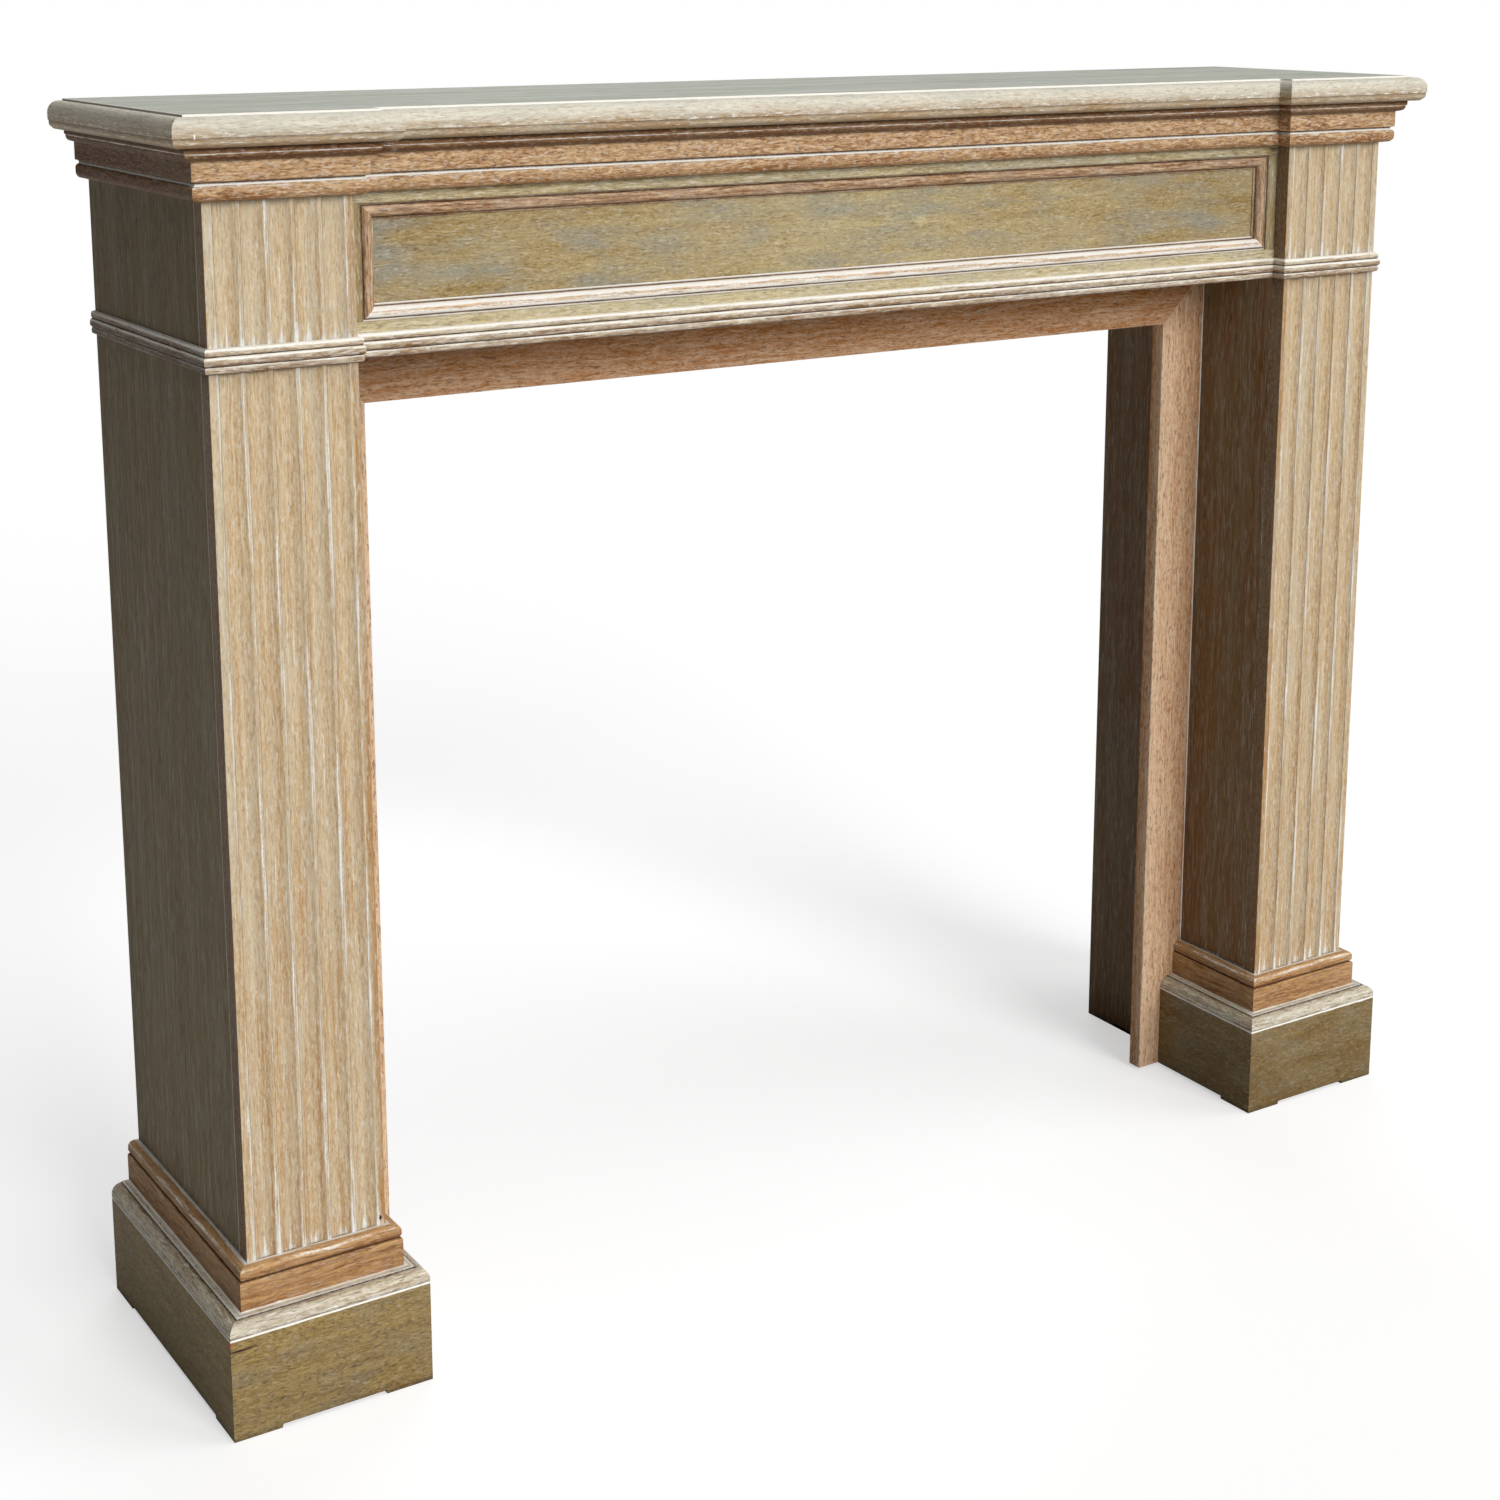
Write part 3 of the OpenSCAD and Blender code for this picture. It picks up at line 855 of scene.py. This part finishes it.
    def shade_ends(self, grid: np.ndarray, patina: np.ndarray) -> np.ndarray:
        """Paints shade on the ends of the cornice and collar: darker between their lines of paste, and
        browner.

        Args:
            grid: run, out and up of each point.
            patina: its lime, dirt and painted shade, and tone.

        Returns:
            The changed patina.
        """
        # Painted shade on the ends: darker between the lines of paste, and browner all over.
        shown = self.end_shade * (1 - np.clip(patina[..., 0], 0, 1))
        patina[..., 1] = np.maximum(patina[..., 1], shown)
        patina[..., 2] += self.browner
        return patina


@dataclass
class Foot:
    """The plinth, cap and base moulding around the foot of each leg.

    pad is how long its pads are and edge half the step at their ends, in metres, and browner
    is how much browner the right plinth is.
    """

    workshop: Workshop
    surround: Surround
    pad: float = 48 * MM
    edge: float = 0.3 * MM
    browner: float = 0.45

    def build(self) -> None:
        """Makes the three members around both legs."""
        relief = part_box("left_jamb_slip")[0].z
        proud = (self.surround.leg_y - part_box("left_plinth_front")[0].y) / MM
        plinth_h, cap_h, base_h = (size_mm(f"left_{member}_front")[2]
                                   for member in ("plinth", "cap", "base"))
        plinth = outline([
            Corner(0, 0, 0.2),
            Corner(proud, 0, 0.8, dark=0.5, tone=0.8, spread=6.0),
            Corner(proud, relief / MM + 1.2, 0, tone=0.6),
            Corner(proud, plinth_h, 1.0, lime=2.0, tone=0.5, spread=1.1),
            Corner(0, plinth_h, 0.2),
        ])
        cap = outline([
            Corner(0, 0, 0.2, lime=0.8),
            Corner(proud - 0.6, 0, 0.4, lime=2.0, tone=0.3, spread=1.1),
            Corner(proud, 0.9, 0.5, dark=0.4, tone=0.9),
            Corner(proud, 3.5, 0, lime=0.55, tone=0.5, spread=2.0),
            Corner(proud, cap_h - 1.2, 10.0, tone=0.18),
            Corner(20.4, cap_h - 1.0, 0.4, dark=1.0, tone=0.7, spread=1.1),
            Corner(19.8, cap_h, 0.4, lime=1.3, tone=0.1, spread=1.4),
            Corner(12.6, cap_h, 0, lime=1.4, tone=0.1, spread=2.4),
            Corner(0, cap_h, 0.2),
        ])
        base = outline([
            Corner(0, 0, 0.2),
            Corner(12.4, 0, 0.3, lime=0.7, tone=0.6, spread=1.2),
            Corner(12.4, 14.0, 0, tone=0.55),
            Corner(12.4, 28.4, 2.2, lime=0.3, tone=0.35, spread=2.0),
            Corner(9.4, 28.8, 0.5, dark=0.95, tone=1.0, spread=1.3),
            Corner(9.2, 29.9, 0.5, dark=0.9, tone=1.0),
            Corner(11.5, 30.2, 4.6, tone=0.95),
            Corner(11.5, base_h, 5.6, lime=0.66, tone=0.0, spread=3.0),
            Corner(0.6, base_h, 0.3, lime=1.2, dark=0.2, tone=0.1, spread=2.0),
            Corner(0, base_h, 0.2, lime=1.2, tone=0.1),
        ])
        for where in (Face.OUTER, Face.FRONT, Face.INNER):
            route = self.surround.route(where, 0.0)
            begin, finish = -route.start * proud * MM, route.length + route.end * proud * MM
            pads = (begin + self.pad, finish - self.pad if where is not Face.INNER else finish - begin)

            def lift(grid: np.ndarray, pads: Pair = pads) -> np.ndarray:
                """Raises the foot between the pads.

                Args:
                    grid: run, out and up of each point.
                    pads: where the relief starts and ends along the run.

                Returns:
                    The changed grid.
                """
                raised = (grid[..., 0] > pads[0]) & (grid[..., 0] < pads[1])
                grid = grid.copy()
                grid[..., 2] = np.where(raised, np.maximum(grid[..., 2], relief), grid[..., 2])
                return grid

            rings = tuple(pad + side * self.edge for pad in pads for side in (-1, 1))
            left = sweep(plinth, route, rings, lift)
            self.workshop.pair(f"*_plinth_{where.value}", Slot.PLINTH, left, route.run, self.browner)
            for name, slot, line in (("cap", Slot.CAP, cap), ("base", Slot.BASE, base)):
                route = self.surround.route(where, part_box(f"left_{name}_front")[0].z)
                self.workshop.pair(f"*_{name}_{where.value}", slot, sweep(line, route), route.run)


def board(node: str, run_axis: int, tags: dict[str, float] | None = None, arris: float = 0.5) -> Shape:
    """A plain board that fills a node's box, with eased edges.

    Args:
        node: the node whose box it fills.
        run_axis: the axis it runs along, 0 for X, 1 for Y and 2 for Z.
        tags: the lime, dark and tone on its edges.
        arris: the rounding of its edges in millimetres.

    Returns:
        The closed shape.
    """
    low, high = (np.array(v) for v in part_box(node))
    others = [a for a in range(3) if a != run_axis]
    wide, tall = ((high[a] - low[a]) / MM for a in others)
    marks = {"lime": 0.3, "dark": 0.0, "tone": 0.5, **(tags or {})}
    line = outline([Corner(out, up, arris, **marks)
                    for out, up in ((0, 0), (wide, 0), (wide, tall), (0, tall))])
    axes = np.eye(3)
    route = Route(tuple(low), tuple(axes[run_axis]), tuple(axes[others[0]]), tuple(axes[others[1]]),
                  high[run_axis] - low[run_axis])
    return sweep(line, route)


@dataclass
class Leg:
    """A leg's fluted front and its two sides.

    margin, fillet and depth are the flutes' edges, the flats between them and their depth, in
    millimetres. Paste pools over the length pool and is worn thin in turns of worn_run, both in
    metres, each flute worn_turn further on than the last. browner_foot is how much more stain the
    foot holds, darker_top how much darker the outer side is towards its top, and pad how long the
    sides' pads are, in millimetres.
    """

    workshop: Workshop
    flutes: int = 5
    margin: float = 8.4
    fillet: float = 3.0
    depth: float = 4.0
    pool: float = 11 * MM
    worn: float = 0.62
    worn_run: float = 0.36
    worn_turn: float = 2.2
    browner_foot: float = 0.36
    pad: float = 48.0
    darker_top: float = 0.32

    def fluted(self) -> Shape:
        """The left leg's fluted board.

        Returns:
            Its shape, with paste along the bottom of each flute and pooled at the ends.
        """
        low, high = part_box("left_fluted_board")
        wide, thick, _ = size_mm("left_fluted_board")
        flute_w = (wide - 2 * self.margin - (self.flutes - 1) * self.fillet) / self.flutes
        radius = (flute_w ** 2 / 4 + self.depth ** 2) / (2 * self.depth)
        # Each row is a point's place across and into the board, its lime, its dirt and painted shade,
        # its tone, how near the middle of a flute it is, and where its paste stands in the turns of
        # wear.
        rows = [(wide, 0, 0.2, 0, 1.1, 0, 0), (wide, 0.9, 0, 0.6, 0.9, 0, 0),
                (wide, thick, 0, 0.7, 0.9, 0, 0), (0, thick, 0, 0.7, 0.9, 0, 0),
                (0, 0.9, 0, 0.7, 0.9, 0, 0), (0, 0, 0.2, 0.1, 0.3, 0, 0)]
        edges = (1.2, self.margin / 2)
        rows += [(edge, 0.0, 0.1, 0, 0.35, 0, 0) for edge in edges]
        half = (0.05, 0.1, 0.16, 0.25, 0.38, 0.52, 0.66, 0.78, 0.86, 0.9, 0.94, 0.97, 1.0)
        stations = (*(-share for share in reversed(half)), 0.0, *half)
        for i in range(self.flutes):
            start = self.margin + i * (flute_w + self.fillet)
            middle = start + flute_w / 2
            for side in stations:
                x = middle + side * flute_w / 2
                sunk = math.sqrt(radius ** 2 - (x - middle) ** 2) - (radius - self.depth)
                # Paste lies on each arris and along the bottom, with a painted shadow just inside the
                # first arris.
                arris = math.exp(-(((1 - abs(side)) / 0.1) ** 2))
                line = math.exp(-((side / 0.11) ** 2))
                shadow = math.exp(-(((side + 0.95) / 0.035) ** 2))
                rows.append((x, sunk, 0.42 * line + 0.72 * arris, 0.6 * shadow,
                             0.42 + 0.16 * abs(side) - 0.2 * arris, math.exp(-((side / 0.45) ** 2)),
                             self.worn_turn * (i + 0.5 * (side > 0.5))))
            if i < self.flutes - 1:
                rows.append((start + flute_w + self.fillet / 2, 0.0, 0.45, 0, 0.5, 0,
                             self.worn_turn * (i + 0.5)))
        rows += [(wide - edge, 0.0, 0.1, 0, 1.0, 0, 0) for edge in reversed(edges)]
        table = np.array(rows, float)
        line = Outline(table[:, :2] * MM, table[:, 2:5])
        weight, turn = table[:, 5], table[:, 6]
        base_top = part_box("left_base_front")[1].z
        collar_foot, collar_top = (corner.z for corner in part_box("collar_left_front"))

        def settle(grid: np.ndarray, patina: np.ndarray) -> np.ndarray:
            """Wears the runs of paste thin in places, pools it where the flutes meet mouldings, and
            paints shade on the flutes just under the collar.

            Args:
                grid: run, out and up of each point.
                patina: its lime, dirt and painted shade, and tone.

            Returns:
                The changed patina.
            """
            height = grid[..., 0] + low.z
            thinned = 0.5 + 0.5 * np.sin(height * 2 * math.pi / self.worn_run + turn)
            patina[..., 0] = patina[..., 0] * (1.12 - self.worn * thinned)
            for level in (base_top, collar_top):
                away = height - level
                pooled = np.where(away > -2 * MM, np.exp(-np.clip(away, 0, None) / self.pool), 0.0)
                patina[..., 0] = np.clip(patina[..., 0] + 0.8 * pooled * (0.5 + 0.5 * weight), 0, 1.4)
            patina[..., 2] += self.browner_foot * (0.5 - height / high.z)
            # Painted shade on the flutes just under the collar, fading downwards.
            below = np.clip(collar_foot - height, 0, None)
            shade = np.where(height < collar_foot, np.exp(-below / (6 * MM)), 0)
            patina[..., 1] = np.clip(patina[..., 1] + 0.35 * shade, 0, 1)
            return patina

        above = tuple(d * MM for d in (0, 4, 10, 20, 35, 50))
        rings = tuple(level - low.z + d for level in (base_top, collar_top) for d in above)
        rings += tuple(collar_foot - low.z - d for d in above[:4])
        step = self.worn_run / 8
        rings += tuple(float(r) for r in np.arange(step, high.z - low.z, step))
        route = Route((low.x, low.y, low.z), Z_RUN, X_RUN, Y_RUN, high.z - low.z)
        return sweep(line, route, rings, settle=settle)

    def side(self, node: str, tone: float, faces_fire: bool) -> Shape:
        """A side board of the left leg, on its pads.

        Args:
            node: which board.
            tone: how brown it is.
            faces_fire: whether it is the one that the slips meet.

        Returns:
            Its shape, with paste along the joint with the fluted board and above the base, and painted
            shade towards its back.
        """
        low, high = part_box(node)
        thick, deep, _ = size_mm(node)
        pad = self.pad
        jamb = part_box("left_jamb_slip")[0]
        line = outline([
            Corner(0, 0, 0.5, lime=1.5, tone=tone, spread=1.0),
            Corner(thick, 0, 0.5, lime=0.55, tone=tone, spread=1.0),
            Corner(thick, pad, 0, tone=tone),
            # Towards the back, near the wall, the board is darker and browner: painted shade.
            Corner(thick, deep - pad, 0, dark=0.3, tone=tone + 0.2, spread=50.0),
            Corner(thick, deep, 0.5, dark=0.3, tone=tone + 0.2, spread=40.0),
            Corner(0, deep, 0.5, tone=tone + 0.2),
            Corner(0, deep - pad, 0, tone=tone + 0.1),
            Corner(0, pad, 0, tone=tone),
        ])
        clear = pad + 0.1
        inside = (line.points[:, 1] > clear * MM) & (line.points[:, 1] < (deep - clear) * MM)
        begin = np.where(inside, jamb.z, 0.0)
        top = np.full(len(begin), high.z - low.z)
        base_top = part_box("left_base_front")[1].z
        reach = jamb.y if faces_fire else high.y
        planted = high.x - low.x if faces_fire else 0.0

        def settle(grid: np.ndarray, patina: np.ndarray) -> np.ndarray:
            """Leaves paste in the corner above the base moulding, and darkens the outer board towards
            its top.

            Args:
                grid: run, out and up of each point.
                patina: its lime, dirt and painted shade, and tone.

            Returns:
                The changed patina.
            """
            away = np.abs(grid[..., 0] - base_top - 0.8 * MM)
            met = (np.abs(grid[..., 1] - planted) < MM) & (grid[..., 2] + low.y < reach)
            for layer, most, spread in ((0, 0.85, 2.4 * MM), (1, 0.5, 3.2 * MM)):
                patina[..., layer] = patina[..., layer] + met * most * np.exp(-((away / spread) ** 2))
            if not faces_fire:
                # Darker towards the top of the outer board.
                patina[..., 1] = np.maximum(patina[..., 1], self.darker_top * grid[..., 0] / high.z)
            return patina

        rings = (*(base_top + d * MM for d in (-3, 0, 1.5, 3, 6)), jamb.z + MM)
        route = Route(tuple(low), Z_RUN, X_RUN, Y_RUN, high.z - low.z)
        return sweep(line, route, rings, settle=settle, begin=begin, finish=top)

    def build(self) -> None:
        """Makes both legs."""
        self.workshop.pair("*_fluted_board", Slot.FLUTES, self.fluted(), Z_RUN)
        for name, tone, faces_fire in (("outer_side", 0.2, False), ("inner_side", 1.0, True)):
            shape = self.side(f"left_{name}", tone, faces_fire)
            self.workshop.pair(f"*_{name}", Slot.SIDES, shape, Z_RUN)


@dataclass
class Frieze:
    """The frieze's frame, its panel and the moulding mitred around the panel.

    browner_ends and paler are how much deeper the panel's stain is at its ends than in its
    middle, and how much paler the whole of it is than its edges.
    """

    workshop: Workshop
    browner_ends: float = 0.5
    paler: float = 0.3

    def moulding(self, ledge: float) -> Outline:
        """The panel moulding's profile: a round back between quirks, thin on the panel.

        Args:
            ledge: how much paste has settled on the side towards the panel.

        Returns:
            The closed outline.
        """
        _, rise, wide = size_mm("panel_moulding_top")
        return outline([
            Corner(0, 0, 0.2),
            Corner(wide, 0, 0.3, lime=1.6 * ledge, dark=0.6 - 0.6 * min(ledge, 1),
                   tone=0.6 - 0.5 * ledge),
            Corner(wide, 1.6, 0.5, lime=1.2 * ledge, tone=0.6 - 0.5 * ledge),
            Corner(wide - 2.4, 2.2, 0.4, dark=0.85, tone=0.8, spread=0.8),
            Corner(wide - 3.0, rise - 0.6, 5.0, lime=0.8 * ledge, tone=0.75 - 0.5 * ledge,
                   spread=2.4 + 0.8 * ledge),
            Corner(2.6, rise, 3.6, lime=0.66 * ledge, tone=0.65 - 0.3 * ledge, spread=2.4 + 0.8 * ledge),
            Corner(2.2, rise - 3.0, 0.4, dark=0.95, tone=0.9, spread=1.0),
            Corner(0.6, rise - 2.0, 0.4, lime=0.3 + 0.6 * ledge, tone=0.7),
            Corner(0, rise - 2.0, 0.3, lime=0.5 + 0.5 * ledge, dark=0.4 - 0.3 * ledge, tone=0.7),
        ])

    def build(self) -> None:
        """Makes the rails, stiles, panel and its four mouldings."""
        for name, tone in (("frieze_top_rail", 0.5), ("frieze_bottom_rail", 0.15)):
            self.workshop.piece(name, Slot.FRIEZE, board(name, 0, {"tone": tone, "dark": 0.25}), X_RUN)
        for side in Side:
            name = f"frieze_{side.value}_stile"
            self.workshop.piece(name, Slot.FRIEZE, board(name, 2, {"tone": 1.1, "dark": 0.5}), Z_RUN)
        panel = board("frieze_panel", 0)
        low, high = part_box("frieze_panel")
        panel.patina[:, 2] += self.browner_ends * np.abs(panel.points[:, 0] / high.x) - self.paler
        self.workshop.piece("frieze_panel", Slot.PANEL, panel, X_RUN)
        width, tall = high.x - low.x, high.z - low.z
        for where, x, z, run, out, length, ledge in (
                ("top", low.x, high.z, X_RUN, (0, 0, -1), width, 0.1),
                ("bottom", low.x, low.z, X_RUN, Z_RUN, width, 1.5),
                ("left", low.x, low.z, Z_RUN, X_RUN, tall, 0.4),
                ("right", high.x, low.z, Z_RUN, (-1, 0, 0), tall, 0.3)):
            route = Route((x, low.y, z), run, out, (0, -1, 0), length, -1, -1)
            shape = sweep(self.moulding(ledge), route)
            self.workshop.piece(f"panel_moulding_{where}", Slot.PANEL_MOULD, shape, run)


@dataclass
class FireSlips:
    """The slips around the fire opening and the board that closes the frieze back to them."""

    workshop: Workshop

    def build(self) -> None:
        """Makes the header, the jambs and the soffit."""
        low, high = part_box("header_slip")
        jamb_low, jamb_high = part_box("left_jamb_slip")
        _, thick, tall = size_mm("header_slip")
        # The header's front is browner towards its top and dark along its top edge: painted shade under
        # the soffit.
        line = outline([Corner(0, 0, 0.8, lime=0.35, tone=0.6), Corner(thick, 0, 0.4, tone=0.9),
                        Corner(thick, tall, 0.4, tone=0.9), Corner(0, tall, 0.4, dark=0.5, tone=0.95)])
        inset = jamb_high.x - jamb_low.x
        begin = inset - line.points[:, 1]
        finish = (high.x - low.x) - begin
        route = Route(tuple(low), X_RUN, Y_RUN, Z_RUN, high.x - low.x)
        shape = sweep(line, route, begin=begin, finish=finish)
        self.workshop.piece("header_slip", Slot.SLIPS, shape, X_RUN)
        wide = size_mm("left_jamb_slip")[0]
        line = outline([Corner(0, 0, 0.4, lime=1.5, tone=0.6, spread=1.6),
                        Corner(wide, 0, 0.8, lime=0.35, tone=0.15),
                        Corner(wide, thick, 0.5, tone=0.9), Corner(0, thick, 0.4, tone=0.9)])
        length = jamb_high.z - jamb_low.z
        finish = length - line.points[:, 0]
        route = Route(tuple(jamb_low), Z_RUN, X_RUN, Y_RUN, length)
        shape = sweep(line, route, begin=np.zeros(len(finish)), finish=finish)
        self.workshop.pair("*_jamb_slip", Slot.SLIPS, shape, Z_RUN)
        self.workshop.piece("soffit_board", Slot.SIDES, board("soffit_board", 0), X_RUN)


@dataclass
class ShelfBoard:
    """The shelf board, which breaks forward over each leg."""

    workshop: Workshop

    def build(self) -> None:
        """Makes the board from its plan, with paste along the joint with the nosing."""
        low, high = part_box("shelf_board")
        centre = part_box("nosing_centre")[1].y
        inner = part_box("nosing_left_break")[0].x
        plan = np.array([(low.x, high.y), (low.x, low.y), (inner, low.y), (inner, centre),
                         (-inner, centre), (-inner, low.y), (high.x, low.y), (high.x, high.y)])
        count = len(plan)
        ahead = np.roll(plan, -1, axis=0) - plan
        ahead /= np.linalg.norm(ahead, axis=1)[:, None]
        inward = np.stack([-ahead[:, 1], ahead[:, 0]], axis=1)
        pull = inward + np.roll(inward, 1, axis=0)
        # Each ring's height, how far it stands in from the plan in millimetres, and its lime.
        rings = [(low.z, 0.4, 0.0), (low.z + 0.4 * MM, 0.0, 0.0), (high.z - 4 * MM, 0.0, 2.0),
                 (high.z - 0.3 * MM, 0.0, 2.0), (high.z, 0.3, 2.0), (high.z, 1.2, 1.2),
                 (high.z, 2.6, 0.2), (high.z, 5.0, 0.0)]
        points, patina = [], []
        for level, inset, lime in rings:
            shifted = plan + pull * inset * MM
            points.append(np.column_stack([shifted, np.full(count, level)]))
            patina.append(np.column_stack([np.full(count, lime), np.zeros(count), np.full(count, 0.5)]))
        shape = Shape(np.vstack(points), ring_faces(len(rings), count), np.vstack(patina))
        self.workshop.piece("shelf_board", Slot.SHELF, shape, X_RUN)


# ---------------------------------------------------------------- studio


@dataclass
class Studio:
    """A pale floor, soft daylight from the front, and the camera.

    The floor's bounce is what the object sees of it, and its paint and glow are what the camera
    sees: they sum to white in full light. A lamp's row is its name, bearing (0 in front and 90
    on the right) and height in degrees, strength, and how wide it looks in degrees.
    """

    eye: Vec = (-1.466, -2.193, 1.340)
    yaw: float = 0.568
    pitch: float = -0.201
    lens: float = 60.3
    shift_y: float = -0.18
    fill: float = 0.03
    sensor_mm: float = 36.0
    floor_reach: float = 14.0
    bounce: float = 0.75
    paint: float = 0.62
    glow: float = 0.522
    lamp_away: float = 5.0
    lamps: tuple[tuple[str, float, float, float, float], ...] = (
        ("front_key", 4, 24, 2.4, 30), ("top_soft", 20, 80, 0.5, 40),
        ("right_soft", 60, 35, 0.9, 40), ("back_soft", 150, 40, 0.65, 40))

    def floor(self) -> None:
        """Lays a white floor that keeps the object's shadow."""
        mesh = bpy.data.meshes.new("floor")
        far = self.floor_reach
        mesh.from_pydata([(-far, -far, 0), (far, -far, 0), (far, far, 0), (-far, far, 0)], [],
                         [(0, 1, 2, 3)])
        made = bpy.data.objects.new("floor", mesh)
        bpy.context.scene.collection.objects.link(made)
        finish = bpy.data.materials.new("white_studio_floor")
        finish.use_nodes = True
        tree = finish.node_tree
        tree.nodes.clear()
        seen = add(tree, "LightPath").outputs["Is Camera Ray"]
        shade = add(tree, "Mix", {"Factor": seen, 2: self.bounce, 3: self.paint})
        paint = add(tree, "BsdfDiffuse", {"Color": shade.outputs[0]})
        glow = add(tree, "Emission", {"Color": (1, 1, 1, 1), "Strength": self.glow})
        none = add(tree, "Emission", {"Color": (0, 0, 0, 1), "Strength": 0.0})
        only = add(tree, "MixShader", {0: seen, 1: none.outputs[0], 2: glow.outputs[0]})
        both = add(tree, "AddShader", {0: paint.outputs[0], 1: only.outputs[0]})
        add(tree, "OutputMaterial", {"Surface": both.outputs[0]})
        mesh.materials.append(finish)

    def world(self) -> None:
        """A white background that lights the object only softly."""
        made = bpy.data.worlds.new("studio")
        made.use_nodes = True
        tree = made.node_tree
        tree.nodes.clear()
        path = add(tree, "LightPath")
        fill = add(tree, "Background", {"Color": (1, 1, 1, 1), "Strength": self.fill})
        seen = add(tree, "Background", {"Color": (1, 1, 1, 1), "Strength": 1.0})
        mix = add(tree, "MixShader", {0: path.outputs["Is Camera Ray"], 1: fill.outputs[0],
                                      2: seen.outputs[0]})
        add(tree, "OutputWorld", {"Surface": mix.outputs[0]})
        bpy.context.scene.world = made

    def lamp(self, name: str, azimuth: float, elevation: float, strength: float, spread: float) -> None:
        """Lights the scene with one wide soft lamp, far off.

        Args:
            name: its name.
            azimuth: its bearing in degrees, 0 in front and 90 on the right.
            elevation: its height above the horizon in degrees.
            strength: its strength.
            spread: how wide it looks, in degrees.
        """
        data = bpy.data.lights.new(name, "SUN")
        data.energy = strength
        data.angle = math.radians(spread)
        made = bpy.data.objects.new(name, data)
        a, e = math.radians(azimuth), math.radians(elevation)
        towards = Vector((math.sin(a) * math.cos(e), -math.cos(a) * math.cos(e), math.sin(e)))
        made.rotation_mode = "QUATERNION"
        made.rotation_quaternion = (-towards).to_track_quat("-Z", "Y")
        made.location = towards * self.lamp_away
        bpy.context.scene.collection.objects.link(made)

    def camera(self) -> None:
        """Sets the camera at the viewing angle."""
        data = bpy.data.cameras.new("view")
        data.sensor_width = self.sensor_mm
        data.lens = self.lens
        data.shift_y = self.shift_y
        made = bpy.data.objects.new("view", data)
        level = math.cos(self.pitch)
        ahead = Vector((math.sin(self.yaw) * level, math.cos(self.yaw) * level, math.sin(self.pitch)))
        made.location = self.eye
        made.rotation_mode = "QUATERNION"
        made.rotation_quaternion = ahead.to_track_quat("-Z", "Y")
        bpy.context.scene.collection.objects.link(made)
        bpy.context.scene.camera = made

    def build(self) -> None:
        """Sets up the whole studio."""
        self.camera()
        self.floor()
        self.world()
        for row in self.lamps:
            self.lamp(*row)
        bpy.context.scene.view_settings.view_transform = "Standard"


def main() -> None:
    """Builds the studio and then each sub-assembly."""
    logging.basicConfig(level=logging.INFO, format="%(name)s: %(message)s")
    Studio().build()
    workshop, surround = Workshop(), Surround()
    for part in (ShelfBoard(workshop), Crown(workshop, surround), Leg(workshop), Frieze(workshop),
                 FireSlips(workshop), Foot(workshop, surround)):
        part.build()
    LOG.info("%d pieces stand for %d nodes", workshop.made, len(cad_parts))


if __name__ == "__main__":
    main()
